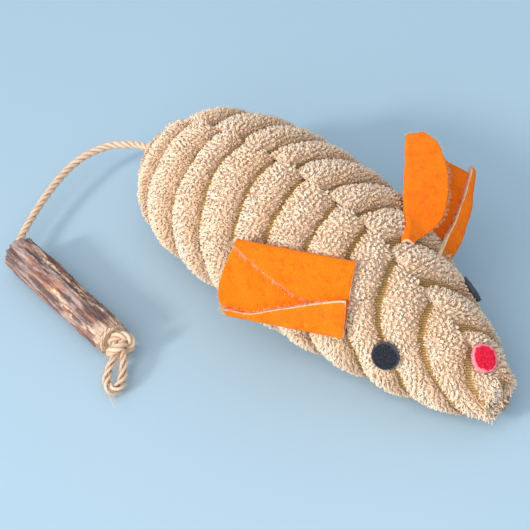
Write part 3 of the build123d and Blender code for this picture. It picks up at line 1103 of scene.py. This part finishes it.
class MOUSETOY_OT_pile(bpy.types.Operator):
    """Grow the plush pile on the wales, lock by lock"""

    bl_idname = "mouse_toy.pile"
    bl_label = "Plush pile"

    ZONES = 5
    CELL = 0.6
    CELL_ANGLE = math.radians(2.5)
    CLUMP = 1.15
    PULL = 0.95
    LEAN = 0.7
    SWAY = 0.28
    SCRAMBLE = (12.9898, 78.233, 37.719, 43758.5453)
    BELLY_FROM = 140
    BELLY_SHARE = 0.45
    TAIL_ROOM = 2.2
    ROOT_DEPTH = 0.15
    PILE_FLOOR_GAP = 0.03
    GIRTHS = ((0.0, 1.0), (0.42, 1.05), (0.8, 0.8))
    # Painted shade along each lock: dark at the root, deep in the pile, to pale at the tip.
    SHADES = (0.1,) * 3 + (0.5,) * 3 + (0.8,) * 3 + (0.95,)

    def execute(self, context):
        form = body_form()
        pile = finish_named("plush_pile", pile_finish)
        for side in (RIGHT, LEFT):
            rng = np.random.default_rng(20 + side)
            s, a = self.scatter(form, side, rng)
            zone = np.minimum((s / form.length * self.ZONES).astype(int), self.ZONES - 1)
            for number in range(self.ZONES):
                chosen = zone == number
                name = f"{SIDE_NAMES[side]}_pile_{number + 1}"
                piece = self.locks(form, side, s[chosen], a[chosen], rng, name)
                give(piece, pile)
                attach(piece, "body")
        return {"FINISHED"}

    def scatter(self, form, side, rng):
        """Places for the locks, spread evenly over the wales and kept off the grooves and discs."""
        s = settings().plush
        along = np.arange(self.CELL / 2, form.length, self.CELL)
        angle = np.arange(self.CELL_ANGLE / 2, math.pi, self.CELL_ANGLE)
        cs, ca = (g.ravel() for g in np.meshgrid(along, angle, indexing="ij"))
        area = self.CELL * form.radius_at(cs, ca) * self.CELL_ANGLE
        thinned = np.where(np.degrees(ca) > self.BELLY_FROM, self.BELLY_SHARE, 1.0)
        wanted = area * s.locks_per_square_millimetre * thinned
        total = np.cumsum(wanted)
        marks = np.arange(int(total[-1])) + rng.uniform(0, 1, int(total[-1]))
        cell = np.minimum(np.searchsorted(total, marks), len(cs) - 1)
        sa = cs[cell] + rng.uniform(-0.5, 0.5, len(cell)) * self.CELL
        aa = ca[cell] + rng.uniform(-0.5, 0.5, len(cell)) * self.CELL_ANGLE
        sa = np.clip(sa, 0.1, form.length - 0.1)
        aa = np.clip(aa, 0.003, math.pi - 0.003)
        places = form.place(sa, aa, side)
        gap, _, _ = wale(side, places[:, 1], aa)
        clear_of_tail = np.linalg.norm(places - TAIL_EXIT, axis=1) > self.TAIL_ROOM
        keep = (gap > 0.05) & ~near_disc(places, -0.3) & clear_of_tail
        return sa[keep], aa[keep]

    def locks(self, form, side, s, a, rng, name):
        """One piece of pile: a curled, tapered lock of fibres at each place."""
        p = settings().plush
        count = len(s)
        surface = form.place(s, a, side)
        root = rolled(form, s, a, side)
        out, tailwards, downwards = roll_axes(form, s, a, side)
        upright, _, _ = form.axes(s, a, side)
        gap, half, groove_way = wale(side, surface[:, 1], a)
        height = crown(gap, half)
        nose = np.clip((-48 - surface[:, 1]) / 7, 0, 1)
        reach = p.pile_length / MM
        length = reach * (0.5 + 0.5 * height) * rng.uniform(0.85, 1.15, count)
        length *= 1 - 0.2 * nose
        length += nose * rng.uniform(0, 1, count) ** 6 * 1.2
        to_tail, to_belly, tone, apart = self.combing(s, a * form.radius_at(s, a))
        low = (1 - height) ** 1.5
        stand = unit(out * (1 - low)[:, None] + upright * (1.2 * low)[:, None])
        lean = 1 - 0.7 * low
        heading = unit(
            stand * 0.8
            + tailwards * ((to_tail + rng.normal(0, 0.09, count) - 0.2 * nose) * lean)[:, None]
            + downwards * ((0.25 + to_belly + rng.normal(0, 0.09, count)) * lean)[:, None]
        )
        turn = rng.uniform(0, 2 * math.pi, count)
        curl = tailwards * np.cos(turn)[:, None] + downwards * np.sin(turn)[:, None]
        across = unit(np.cross(heading, curl))
        width = p.pile_width / MM * rng.uniform(0.75, 1.2, count)
        bend = length * rng.uniform(0.05, 0.28, count)
        wave = rng.uniform(0.04, 0.12, count)
        phase = rng.uniform(0, 2 * math.pi, count)
        root = root - out * self.ROOT_DEPTH
        rows = []
        for level, girth in self.GIRTHS:
            spine = root + heading * (length * level)[:, None] + curl * (bend * level**2)[:, None]
            spine += across * (wave * np.sin(phase + level * 6.0))[:, None]
            for corner in THIRD_TURNS:
                c = corner + phase
                round_it = curl * np.cos(c)[:, None] + across * np.sin(c)[:, None]
                rows.append(spine + round_it * (width * girth / 2)[:, None])
        rows.append(root + heading * (length * 0.98)[:, None] + curl * bend[:, None]
                    + across * (wave * np.sin(phase + 6.0))[:, None])
        points = np.stack(rows, 1)
        points[..., 2] = np.maximum(points[..., 2], self.PILE_FLOOR_GAP)
        piece = mesh_object(name, points.reshape(-1, 3), taper_faces(len(self.GIRTHS), count))
        # Painted shade: locks are darker towards the grooves, at the edges of their clumps and on the wale's
        # flank that faces the nose.
        flank = groove_way * (1 - gap / half)
        flank_shade = 1 - 0.5 * np.clip(-flank, 0, 1)
        depth = np.tile(self.SHADES, count)
        level = np.clip(0.5 + 0.5 * height, 0, 1) * (1 - 0.22 * apart) * flank_shade
        level = np.repeat(level, len(self.SHADES))
        tone = 0.4 + 0.36 * tone + 0.24 * rng.uniform(0, 1, count)
        # Painted shade: the tone is lowered on the wale's flank that faces the nose.
        tone = tone - 0.7 * np.clip(-flank - 0.25, 0, 1)
        tone = np.repeat(np.clip(tone, 0, 1), len(self.SHADES))
        paint(piece, "lock", np.stack((depth * level, tone, np.zeros(len(depth))), -1))
        return piece

    def combing(self, s, arc):
        """Each lock's lean towards the tail and the belly, its clump's tone, and its place in the clump,
        which darkens the clump's edges as painted shade in the creases.
        """
        row = np.floor(s / self.CLUMP)
        column = np.floor(arc / self.CLUMP + 0.5 * (row % 2))

        def chance(seed):
            per_row, per_column, per_seed, spread = self.SCRAMBLE
            value = np.sin(row * per_row + column * per_column + seed * per_seed) * spread
            return value - np.floor(value)

        middle_s = (row + 0.25 + 0.5 * chance(1)) * self.CLUMP
        middle_arc = (column - 0.5 * (row % 2) + 0.25 + 0.5 * chance(2)) * self.CLUMP
        swirl = np.sin(s * 1.1 + 1.9 * np.sin(arc * 0.53))
        swirl += np.sin(arc * 1.35 + 1.7 * np.sin(s * 0.61) + 2.0)
        drift = np.sin(arc * 0.95 + 2.1 * np.sin(s * 0.47) + 1.0)
        drift += np.sin(s * 1.6 - 1.3 * np.sin(arc * 0.8))
        to_tail = (middle_s - s) * self.PULL + self.LEAN * (chance(3) - 0.5) + self.SWAY * swirl
        to_belly = (middle_arc - arc) * self.PULL + self.LEAN * (chance(4) - 0.5) + self.SWAY * drift
        apart = np.hypot(middle_s - s, middle_arc - arc) / self.CLUMP
        return to_tail, to_belly, chance(5), np.clip(1.5 * apart, 0, 1) ** 1.5


class MOUSETOY_OT_groove_weave(bpy.types.Operator):
    """Weave the gold ribs of ground cloth that show in the grooves"""

    bl_idname = "mouse_toy.groove_weave"
    bl_label = "Groove weave"

    RIB_RADIUS = 0.17
    RIB_LIFT = 0.05
    RIB_SLANT = 0.22
    RIB_RINGS = ((-1.1, 0.6, 0.25), (-0.4, 1.0, 0.0), (0.4, 1.0, 0.0), (1.1, 0.6, 0.25))
    END_ROOM = 1.5

    def execute(self, context):
        form = body_form()
        for side in (RIGHT, LEFT):
            bundle = Bundle()
            for line in range(1, len(GROOVES[side]) - 1):
                points, faces = self.ribs(form, side, line)
                bundle.add(points, faces, (0.0, 0.0, 0.0))
            piece = bundle.mesh(f"{SIDE_NAMES[side]}_groove_weave")
            give(piece, ground_finish(f"{SIDE_NAMES[side]}_weave_rib"))
            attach(piece, "body")
        return {"FINISHED"}

    def ribs(self, form, side, line):
        """Short rounded ribs of weft across one groove, side by side down the body's side."""
        fine = np.linspace(0.03, 2.7, 1600)
        y = groove_lines(side, fine)[line]
        inside = (y > form.y[0] + self.END_ROOM) & (y < form.y[-1] - self.END_ROOM)
        if not inside.any():
            return np.zeros((0, 3)), np.zeros((0, 3), int)
        fine, y = fine[inside], y[inside]
        along = np.interp(y, form.y, form.along)
        places = form.place(along, fine, side)
        steps = np.concatenate(((0.0,), np.cumsum(np.linalg.norm(np.diff(places, axis=0), axis=1))))
        marks = np.arange(0.2, steps[-1], settings().plush.weave_pitch / MM)
        a, s = np.interp(marks, steps, fine), np.interp(marks, steps, along)
        surface = form.place(s, a, side)
        out, tailwards, downwards = form.axes(s, a, side)
        level = ground_lift(np.zeros(len(a)), seam_dip(surface[:, 0]), surface[:, 1]) + self.RIB_LIFT
        centre = surface + out * level[:, None]
        rows = []
        for reach, girth, sink in self.RIB_RINGS:
            spine = centre + tailwards * reach - out * sink + downwards * reach * self.RIB_SLANT
            thick = self.RIB_RADIUS * girth
            for up, across in ((1, 0), (0, 1), (-1, 0), (0, -1)):
                rows.append(spine + out * thick * up + downwards * thick * across)
        points = np.stack(rows, 1)
        faces = [(0, 1, 2), (0, 2, 3), (12, 14, 13), (12, 15, 14)]
        for ring in (0, 4, 8):
            for corner in range(4):
                x, z = ring + corner, ring + (corner + 1) % 4
                faces += [(x, z, z + 4), (x, z + 4, x + 4)]
        faces = (np.arange(len(a))[:, None, None] * 16 + np.array(faces)[None]).reshape(-1, 3)
        return points.reshape(-1, 3), faces


# ---- Operators: felt ---------------------------------------------------------------------------


class EarShape:
    """How one ear is folded: widths in millimetres and angles in degrees along its length."""

    def __init__(self, side, run, front, twist, flap, hem, opening, roll, tip, root, shift):
        upper = np.array((side * EAR_ROOT_UPPER[0], *EAR_ROOT_UPPER[1:]))
        lower = np.array((side * EAR_ROOT_LOWER[0], *EAR_ROOT_LOWER[1:]))
        self.along = unit(run)
        normal = unit(np.cross(self.along, lower - upper)) * front
        across = np.cross(normal, self.along)
        if across @ (lower - upper) < 0:
            across = -across
        lean = math.radians(twist)
        self.origin = upper + normal * 0.8 + np.array(shift)
        self.front = normal * math.cos(lean) - across * math.sin(lean)
        self.across = across * math.cos(lean) + normal * math.sin(lean)
        self.flap, self.hem, self.opening, self.roll = flap, hem, opening, roll
        self.tip, self.root = tip, root

    @staticmethod
    def at(table, u):
        """A value along the ear, smoothed between its few given places."""
        places, values = zip(*table)
        spread = (-1.6, -0.8, 0.0, 0.8, 1.6)
        return sum(np.interp(u + shift, places, values) for shift in spread) / len(spread)


EAR_LENGTH, EAR_WIDTH = 31.0, 18.0
FOLD_RADIUS = 0.82
FELT = 1.1

EARS = {
    RIGHT: EarShape(
        RIGHT,
        run=(-13.8, 25.6, -0.2),
        front=1,
        twist=0,
        flap=((0, 8.6), (4, 10.6), (8, 11.0), (12, 9.9), (17, 7.9), (23, 5.0), (28.5, 2.4), (31, 1.2)),
        hem=((0, 9.4), (6, 7.4), (12, 5.1), (18, 2.9), (23, 1.2), (31, 0.9)),
        opening=((0, 4), (8, 9), (20, 14), (31, 16)),
        roll=((0, 0), (31, 0)),
        tip=((-2, 28.2), (0, 28.6), (3, 29.9), (7, 31.0), (11, 31.5), (14, 31.2), (16, 30.0),
             (17.4, 28.2), (18.5, 26.6)),
        root=-0.8,
        shift=(0.0, 0.0, 0.0),
    ),
    LEFT: EarShape(
        LEFT,
        run=(22.4, 19.5, 4.2),
        front=-1,
        twist=-8,
        flap=((-3, 1.8), (-1, 3.2), (1, 5.4), (5, 8.4), (9, 10.0), (16, 10.6), (22, 9.8),
              (27, 8.2), (29.5, 6.2), (31, 4.0)),
        hem=((0, 7.0), (6, 5.6), (14, 3.6), (24, 1.8), (31, 1.0)),
        opening=((-3, 10), (-1, 18), (4, 42), (8, 52), (16, 64), (24, 72), (31, 76)),
        roll=((0, 0), (4, 6), (10, 20), (18, 33), (26, 40), (31, 42)),
        tip=((-2, 30.4), (0, 30.9), (3, 30.8), (6, 29.0), (9, 27.0), (12, 25.0), (15, 23.0),
             (17, 21.6), (18.5, 20.6)),
        root=-3.0,
        shift=(-2.6, -0.3, -1.0),
    ),
}


def ear_section(shape, u, counts=(12, 7, 26, 8, 18)):
    """The folded felt's middle line across the ear at u: hem, lower fold, back, upper fold and flap.

    Gives places (across, out of the front) in millimetres, and each one's distance along the cloth.
    """
    flap, hem = shape.at(shape.flap, u), shape.at(shape.hem, u)
    opening, roll = math.radians(shape.at(shape.opening, u)), math.radians(shape.at(shape.roll, u))
    width = EAR_WIDTH - 0.4
    r = FOLD_RADIUS
    hem_n, low_n, back_n, up_n, flap_n = counts
    start = np.array((r + r * math.cos(roll - math.pi / 2), r + r * math.sin(roll - math.pi / 2)))
    heading = np.array((math.cos(roll), math.sin(roll)))
    left = np.array((-heading[1], heading[0]))
    run = np.linspace(0, 1, back_n)
    belly = 0.5 * np.sin(math.pi * run) * min(u / 8, 1)
    back = start + heading * ((width - 2 * r) * run)[:, None] - left * belly[:, None]
    centre = start + heading * (width - 2 * r) + left * r
    turn = np.linspace(-math.pi / 2, math.pi / 2 - 0.10, low_n + 1)[1:]
    low = centre + r * (heading * np.cos(turn)[:, None] + left * np.sin(turn)[:, None])
    end = low[-1]
    back_way = unit(low[-1] - low[-2])
    reach = np.linspace(0, max(hem - r, 0.3), hem_n + 1)[1:]
    hem_line = end + back_way * reach[:, None] + left * (0.016 * reach**2)[:, None]
    up_turn = np.linspace(roll - math.pi / 2, opening - 1.5 * math.pi, up_n + 1)[1:]
    upper = np.array((r, r)) + r * np.stack((np.cos(up_turn), np.sin(up_turn)), -1)
    flap_way = np.array((math.cos(opening), math.sin(opening)))
    flap_left = np.array((-flap_way[1], flap_way[0]))
    reach = np.linspace(0, max(flap - r, 0.3), flap_n + 1)[1:]
    flap_line = upper[-1] + flap_way * reach[:, None] - flap_left * (0.010 * reach**2)[:, None]
    return np.concatenate((hem_line[::-1], low[::-1], back[::-1], upper, flap_line))


def tip_reach(shape, across):
    """How far the ear's rounded tip reaches, by place across it."""
    places, reach = zip(*shape.tip)
    return np.interp(across, places, reach)


class MOUSETOY_OT_felt_ears(bpy.types.Operator):
    """Fold both felt ears: a wide flap from the upper edge and a hem from the lower edge"""

    bl_idname = "mouse_toy.felt_ears"
    bl_label = "Felt ears"

    ROWS = 80

    def execute(self, context):
        s = settings().felt
        felt = felt_finish("ear_felt", s.ear_colour, s.ear_shade, s.ear_fleck)
        edge = felt_finish("ear_felt_cut_edge", s.ear_edge, s.ear_colour, s.ear_fleck)
        for side in (RIGHT, LEFT):
            piece = self.ear(side, felt, edge)
            name = f"{SIDE_NAMES[side]}_ear"
            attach(piece, name)
            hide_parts(name)
        return {"FINISHED"}

    def ear(self, side, felt, edge):
        """One folded ear as a sheet with its thickness, and the fuzz along its edges."""
        shape = EARS[side]
        rows = []
        for share in np.linspace(0, 1, self.ROWS):
            section = ear_section(shape, shape.root + share * (EAR_LENGTH - shape.root))
            reach = shape.root + share * (tip_reach(shape, section[:, 0]) - shape.root)
            rows.append(np.column_stack((reach, section)))
        grid = np.array(rows)
        flat_area, flat_width = self.flat_size(grid)
        reach, across = grid[..., 0], grid[..., 1]
        fine_wave = 0.10 * np.sin(reach * 0.9 + across * 0.5)
        grid[..., 2] += fine_wave + 0.07 * np.sin(reach * 0.37 - across * 1.1)
        points = (
            shape.origin
            + shape.along * grid[..., :1]
            + shape.across * grid[..., 1:2]
            + shape.front * grid[..., 2:3]
        )
        piece = mesh_object(
            f"{SIDE_NAMES[side]}_felt_ear", points.reshape(-1, 3), grid_faces(*grid.shape[:2])
        )
        give(piece, felt, edge)
        thick = piece.modifiers.new("felt_thickness", "SOLIDIFY")
        thick.thickness = FELT * MM
        thick.offset = 0
        thick.use_even_offset = False
        thick.material_offset_rim = 1
        apply_modifiers(piece)
        self.roughen(piece, side)
        fuzz = self.edge_fuzz(points, side)
        fuzz.parent = piece
        return piece

    @staticmethod
    def flat_size(grid):
        """The flat cut's area and widest width, in millimetres."""
        across = np.linalg.norm(np.diff(grid[..., 1:], axis=1), axis=-1).sum(1)
        step = np.diff(grid[..., 0].mean(axis=1))
        area = float(((across[1:] + across[:-1]) / 2 * step).sum())
        return area, max(float(across.max()), area / EAR_LENGTH * 1.001)

    @staticmethod
    def roughen(piece, side):
        """Presses the felt's soft unevenness into its surface."""
        mesh = piece.data
        for vertex in mesh.vertices:
            at = vertex.co / MM
            rise = 0.05 * noise.noise(at * 0.9 + Vector((side * 9, 0, 0))) + 0.05 * noise.noise(at * 2.6)
            vertex.co += vertex.normal * rise * MM
        mesh.update()

    @staticmethod
    def edge_fuzz(points, side):
        """Pale fibres along the cut edges."""
        rng = np.random.default_rng(60 + side)
        columns = points.shape[1]
        edges = (
            (points[:, 0], points[:, 0] - points[:, 1], 450),
            (points[:, -1], points[:, -1] - points[:, -2], 500),
            (points[-1], points[-1] - points[-2], 700),
        )
        bundle = Bundle()
        for line, away, count in edges:
            first = 0 if len(line) == columns else 10
            at = rng.uniform(first, len(line) - 1.001, count)
            i, part = at.astype(int), (at % 1)[:, None]
            root = line[i] * (1 - part) + line[i + 1] * part
            out = unit(away[i] + 1e-6)
            root = root + rng.normal(0, 0.3, (count, 3)) - out * 0.1
            head = unit(out + rng.normal(0, 0.55, (count, 3)))
            length = rng.uniform(0.25, 1.0, count) ** 1.5 * 0.95 + 0.1
            bend = rng.normal(0, 0.3, (count, 3)) * length[:, None]
            made, faces, tips = hairs(root, head, length, np.full(count, 0.045), bend, steps=3)
            bundle.add(made, faces, np.stack((tips, tips, tips), -1))
        s = settings().felt
        name = f"{SIDE_NAMES[side]}_ear_fuzz"
        return bundle.piece(name, "tip", finish_named("felt_fuzz", lambda: felt_finish(
            "felt_fuzz", s.ear_edge, s.ear_fleck, (1.0, 0.95, 0.9))))


def apply_modifiers(piece):
    """Bakes a piece's modifiers into its own mesh."""
    bpy.context.view_layer.update()
    graph = bpy.context.evaluated_depsgraph_get()
    mesh = bpy.data.meshes.new_from_object(piece.evaluated_get(graph))
    piece.modifiers.clear()
    piece.data = mesh


class MOUSETOY_OT_felt_discs(bpy.types.Operator):
    """Cut the two felt eyes and the felt nose"""

    bl_idname = "mouse_toy.felt_discs"
    bl_label = "Felt eyes and nose"

    def execute(self, context):
        s = settings().felt
        eye = disc_finish("eye_felt", s.eye_colour, s.eye_rim, 0.10, 0.88)
        nose = disc_finish("nose_felt", s.nose_colour, s.nose_rim, 0.24, 0.80)
        mirrored_place = (-EYE_PLACE[0], *EYE_PLACE[1:])
        mirrored_normal = (-EYE_NORMAL[0], *EYE_NORMAL[1:])
        for name, place, normal, finish, slot, seed in (
            ("right_eye", mirrored_place, mirrored_normal, eye, "eye_felt", 3),
            ("left_eye", EYE_PLACE, EYE_NORMAL, eye, "eye_felt", 4),
            ("nose", NOSE_PLACE, NOSE_NORMAL, nose, "nose_felt", 5),
        ):
            felt = self.disc(np.array(place), unit(normal), seed)
            piece = felt.piece(f"{name}_felt", "rim", finish)
            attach(piece, "body")
            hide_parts(name)
        return {"FINISHED"}

    @staticmethod
    def disc(place, normal, seed):
        """A thick felt disc with an uneven cut outline, a soft rim and a fuzzy edge."""
        rng = np.random.default_rng(seed)
        first = unit(np.cross(normal, (0.0, 0.0, 1.0)))
        second = np.cross(normal, first)
        sides = 72
        turn = np.linspace(0, 2 * math.pi, sides, endpoint=False)
        outline = DISC_RADIUS * (1 + sum(
            rng.uniform(-0.022, 0.022) * np.cos(k * turn + rng.uniform(0, 6)) for k in (2, 3, 4, 7, 11)))
        ring = first * np.cos(turn)[:, None] + second * np.sin(turn)[:, None]
        profile = [(0.02, 0.72), (0.2, 0.73), (0.4, 0.72), (0.58, 0.70), (0.74, 0.66), (0.86, 0.60),
                   (0.94, 0.50), (0.985, 0.36), (1.0, 0.15), (0.99, -0.2), (0.9, -0.6), (0.5, -0.7),
                   (0.02, -0.7)]
        rows, rim = [], []
        for share, height in profile:
            rough = np.zeros(sides)
            if height > 0:
                spots = [(math.cos(t) * share * 5, math.sin(t) * share * 5, seed) for t in turn]
                rough = 0.09 * np.array([noise.noise(Vector(spot)) for spot in spots])
            spine = place + normal * (height + rough)[:, None]
            rows.append(spine + ring * (outline * share)[:, None])
            rim.append(np.full(sides, share if height > 0 else 1.0))
        faces = split_faces(grid_faces(len(rows), sides, around=True))
        bundle = Bundle()
        grey = np.concatenate(rim)
        bundle.add(np.concatenate(rows), faces, np.stack((grey, grey, grey), -1))
        count = 130
        t = rng.uniform(0, 2 * math.pi, count)
        out = first * np.cos(t)[:, None] + second * np.sin(t)[:, None]
        root = place + out * (DISC_RADIUS * 0.93) + normal * rng.uniform(0.1, 0.55, count)[:, None]
        head = unit(out + normal * rng.normal(0.25, 0.35, count)[:, None] + rng.normal(0, 0.35, (count, 3)))
        length = rng.uniform(0.2, 0.9, count)
        bend = rng.normal(0, 0.2, (count, 3))
        made, faces, _ = hairs(root, head, length, np.full(count, 0.035), bend, steps=3)
        bundle.add(made, faces, np.ones((len(made), 3)))
        return bundle


def disc_finish(name, colour, rim, unevenness, rim_from):
    """Felt of one colour with a paler cut rim that wanders in and out."""
    f = Finish(name, Roughness=0.85, Sheen_Weight=0.04, Specular_IOR_Level=0.2)
    layer = f.add("ShaderNodeAttribute", {"attribute_name": "rim"})
    out = f.add("ShaderNodeSeparateColor", Color=layer.outputs["Color"]).outputs[0]
    blotch = f.cloud(600.0, 5.0, roughness=0.7)
    wander = f.sum(out, f.spread(blotch, -unevenness, unevenness))
    edge = f.ramp(wander, (rim_from, (0.0, 0.0, 0.0)), (rim_from + 0.1, (1.0, 1.0, 1.0)))
    fibre = f.cloud(2400.0, 5.0, roughness=0.75)
    dark = tuple(0.45 * c for c in colour)
    light = tuple(min(1.0, 2.2 * c + 0.03) for c in colour)
    base = f.ramp(fibre, (0.3, dark), (0.5, colour), (0.72, light))
    f.bump(fibre, 0.25, 0.8)
    return f.finish(f.mix(edge, base, rim), f.spread(fibre, 0.7, 0.95))


# ---- Operators: sewing and inner parts ---------------------------------------------------------


class MOUSETOY_OT_sewing(bpy.types.Operator):
    """Sew the seams and finish the hidden parts: threads, stitches, filling and the tail's anchor knot"""

    bl_idname = "mouse_toy.sewing"
    bl_label = "Sewing and filling"

    def execute(self, context):
        thread = finish_named("sewing_thread", thread_finish)
        self.back_seam(thread)
        for node in ("belly_seam_thread", "closing_stitches", "right_ear_stitches", "left_ear_stitches"):
            self.cover(node, thread)
        self.cover("fibre_stuffing", finish_named("fibre_filling", stuffing_finish))
        self.cover("tail_anchor_knot", finish_named("twisted_jute", jute_finish))
        return {"FINISHED"}

    @staticmethod
    def cover(node, material):
        """Gives a part of the frame its finish."""
        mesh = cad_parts[node].data
        mesh.materials.clear()
        mesh.materials.append(material)

    @staticmethod
    def back_seam(thread):
        """Lock stitches sunk in the seam down the back."""
        form = body_form()
        rng = np.random.default_rng(12)
        bundle = Bundle()
        for start in np.arange(4.0, form.length - 4.0, 2.6):
            share = np.linspace(0, 1, 9)
            along = start + share * 2.2
            middle = form.place(along, np.full(9, 0.001), LEFT)
            out, _, _ = form.axes(along, np.full(9, 0.03), LEFT)
            out[:, 0] = 0
            depth = ground_lift(0.0, 1.0, middle[:, 1]) - 0.1 + 0.55 * np.sin(math.pi * share)
            line = middle + unit(out) * depth[:, None]
            line[:, 0] = rng.uniform(-0.08, 0.08)
            body, faces = tube(line, 0.22, 8)
            bundle.add(body, faces, (1.0, 0.5, 0.0))
        piece = bundle.piece("back_seam_stitches", "thread", thread)
        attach(piece, "body")
        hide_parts("back_seam_thread")


# ---- Settings ----------------------------------------------------------------------------------


def colour_setting(name, description, default):
    """A colour that a user can change."""
    return FloatVectorProperty(
        name=name, description=description, default=default, subtype="COLOR", size=3, min=0.0, max=1.0
    )


def length_setting(name, description, default):
    """A length in metres that a user can change."""
    return FloatProperty(
        name=name, description=description, default=default, min=0.0, unit="LENGTH", precision=5
    )


class MouseToyPlush(bpy.types.PropertyGroup):
    """The plush body"""

    pile_length: length_setting("Pile length", "How long the locks of pile are", 0.00135)
    pile_width: length_setting("Lock width", "How wide one lock of pile is", 0.00045)
    weave_pitch: length_setting("Weave pitch", "From one rib of the ground cloth to the next", 0.00044)
    locks_per_square_millimetre: FloatProperty(
        name="Locks per square millimetre", description="How densely the pile stands",
        default=6.6, min=0.1, max=8.0,
    )
    tip_colour: colour_setting("Tips", "Pile at its tips", display_colour(251, 241, 230))
    pile_colour: colour_setting("Pile", "Pile half way down", display_colour(232, 206, 178))
    # The dark end of the pile's painted shade, and also the ground cloth's stain colour.
    root_colour: colour_setting("Roots", "Pile at its roots", display_colour(190, 156, 126))
    ground_colour: colour_setting("Ground", "Ground cloth in the grooves", display_colour(200, 160, 88))


class MouseToyFelt(bpy.types.PropertyGroup):
    """The felt ears, eyes and nose"""

    ear_colour: colour_setting("Ears", "Ear felt", display_colour(255, 122, 6))
    ear_shade: colour_setting("Ear mottle", "Darker patches in the ear felt", display_colour(250, 92, 4))
    ear_edge: colour_setting("Ear edges", "Cut edges of the ear felt", display_colour(255, 222, 184))
    ear_fleck: colour_setting("Ear fibres", "Pale fibres in the ear felt", display_colour(255, 158, 50))
    eye_colour: colour_setting("Eyes", "Eye felt", display_colour(26, 28, 38))
    eye_rim: colour_setting("Eye rims", "Cut edges of the eye felt", display_colour(74, 80, 92))
    nose_colour: colour_setting("Nose", "Nose felt", display_colour(222, 16, 52))
    nose_rim: colour_setting("Nose rim", "Cut edge of the nose felt", display_colour(238, 140, 152))


class MouseToyCord(bpy.types.PropertyGroup):
    """The tail cord"""

    diameter: length_setting("Diameter", "The cord's diameter", 0.0021)
    lay: length_setting("Lay", "Length of one full twist of the plies", 0.0066)
    jute_colour: colour_setting("Jute", "The cord's fibres", display_colour(216, 184, 152))
    jute_light: colour_setting("Jute highlights", "The palest fibres", display_colour(238, 216, 190))
    jute_shade: colour_setting("Jute shade", "Between the plies", display_colour(176, 134, 102))


class MouseToyWood(bpy.types.PropertyGroup):
    """The chew stick"""

    bark_colour: colour_setting("Bark", "The bark's ridges", display_colour(154, 132, 126))
    bark_light: colour_setting("Pale bark", "Weathered ridges", display_colour(184, 162, 152))
    bark_dark: colour_setting("Dark bark", "Cracks in the bark", display_colour(98, 76, 72))
    rust_colour: colour_setting("Inner bark", "Scraped inner bark", display_colour(170, 112, 82))
    wood_colour: colour_setting("Wood", "Peeled and cut wood", display_colour(206, 168, 134))
    wood_light: colour_setting("Pale wood", "The palest wood", display_colour(234, 206, 176))


class MouseToyStage(bpy.types.PropertyGroup):
    """The floor, lights and camera"""

    floor_colour: colour_setting("Floor", "The floor", display_colour(163, 190, 207))
    key_strength: FloatProperty(
        name="Key light", description="Strength of the low key light", default=1.85, min=0.0
    )
    key_softness: FloatProperty(
        name="Key softness", description="How wide the key light looks",
        default=math.radians(9), subtype="ANGLE",
    )
    fill_strength: FloatProperty(
        name="Overhead light", description="Strength of the overhead light", default=3.0
    )
    sky_strength: FloatProperty(
        name="Sky", description="Strength of the light from all round", default=0.73
    )
    camera_azimuth: FloatProperty(
        name="Azimuth", description="Round from the nose", default=math.radians(-46), subtype="ANGLE"
    )
    camera_elevation: FloatProperty(
        name="Elevation", description="Above the floor", default=math.radians(44), subtype="ANGLE"
    )
    camera_distance: length_setting("Distance", "From the middle of the body", 0.450)
    camera_lens: FloatProperty(name="Lens", description="Focal length in millimetres", default=122.26)
    camera_pan: FloatProperty(
        name="Pan", description="Turned to the left of the body's middle",
        default=math.radians(2.07), subtype="ANGLE",
    )
    camera_tilt: FloatProperty(
        name="Tilt", description="Turned up from the body's middle",
        default=math.radians(-0.16), subtype="ANGLE",
    )


class MouseToySettings(bpy.types.PropertyGroup):
    """All the toy's settings"""

    plush: PointerProperty(type=MouseToyPlush)
    felt: PointerProperty(type=MouseToyFelt)
    cord: PointerProperty(type=MouseToyCord)
    wood: PointerProperty(type=MouseToyWood)
    stage: PointerProperty(type=MouseToyStage)


OPERATORS = (
    MOUSETOY_OT_stage,
    MOUSETOY_OT_tail_cord,
    MOUSETOY_OT_chew_stick,
    MOUSETOY_OT_body_panels,
    MOUSETOY_OT_pile,
    MOUSETOY_OT_groove_weave,
    MOUSETOY_OT_felt_ears,
    MOUSETOY_OT_felt_discs,
    MOUSETOY_OT_sewing,
)


class MOUSETOY_PT_panel(bpy.types.Panel):
    """Every piece of the toy, in the order it is made"""

    bl_label = "Mouse Toy"
    bl_idname = "MOUSETOY_PT_panel"
    bl_space_type = "VIEW_3D"
    bl_region_type = "UI"
    bl_category = "Mouse Toy"

    def draw(self, context):
        toy = context.scene.mouse_toy
        for operator in OPERATORS:
            self.layout.operator(operator.bl_idname)
        for group in (toy.plush, toy.felt, toy.cord, toy.wood, toy.stage):
            box = self.layout.box()
            for name in group.__annotations__:
                box.prop(group, name)


CLASSES = (
    MouseToyPlush,
    MouseToyFelt,
    MouseToyCord,
    MouseToyWood,
    MouseToyStage,
    MouseToySettings,
    *OPERATORS,
    MOUSETOY_PT_panel,
)


def register():
    for cls in CLASSES:
        bpy.utils.register_class(cls)
    bpy.types.Scene.mouse_toy = PointerProperty(type=MouseToySettings)


def unregister():
    del bpy.types.Scene.mouse_toy
    for cls in reversed(CLASSES):
        bpy.utils.unregister_class(cls)


def main():
    """Makes every piece in order."""
    register()
    bpy.ops.mouse_toy.stage()
    bpy.ops.mouse_toy.tail_cord()
    bpy.ops.mouse_toy.chew_stick()
    bpy.ops.mouse_toy.body_panels()
    bpy.ops.mouse_toy.pile()
    bpy.ops.mouse_toy.groove_weave()
    bpy.ops.mouse_toy.felt_ears()
    bpy.ops.mouse_toy.felt_discs()
    bpy.ops.mouse_toy.sewing()


if __name__ == "__main__":
    main()
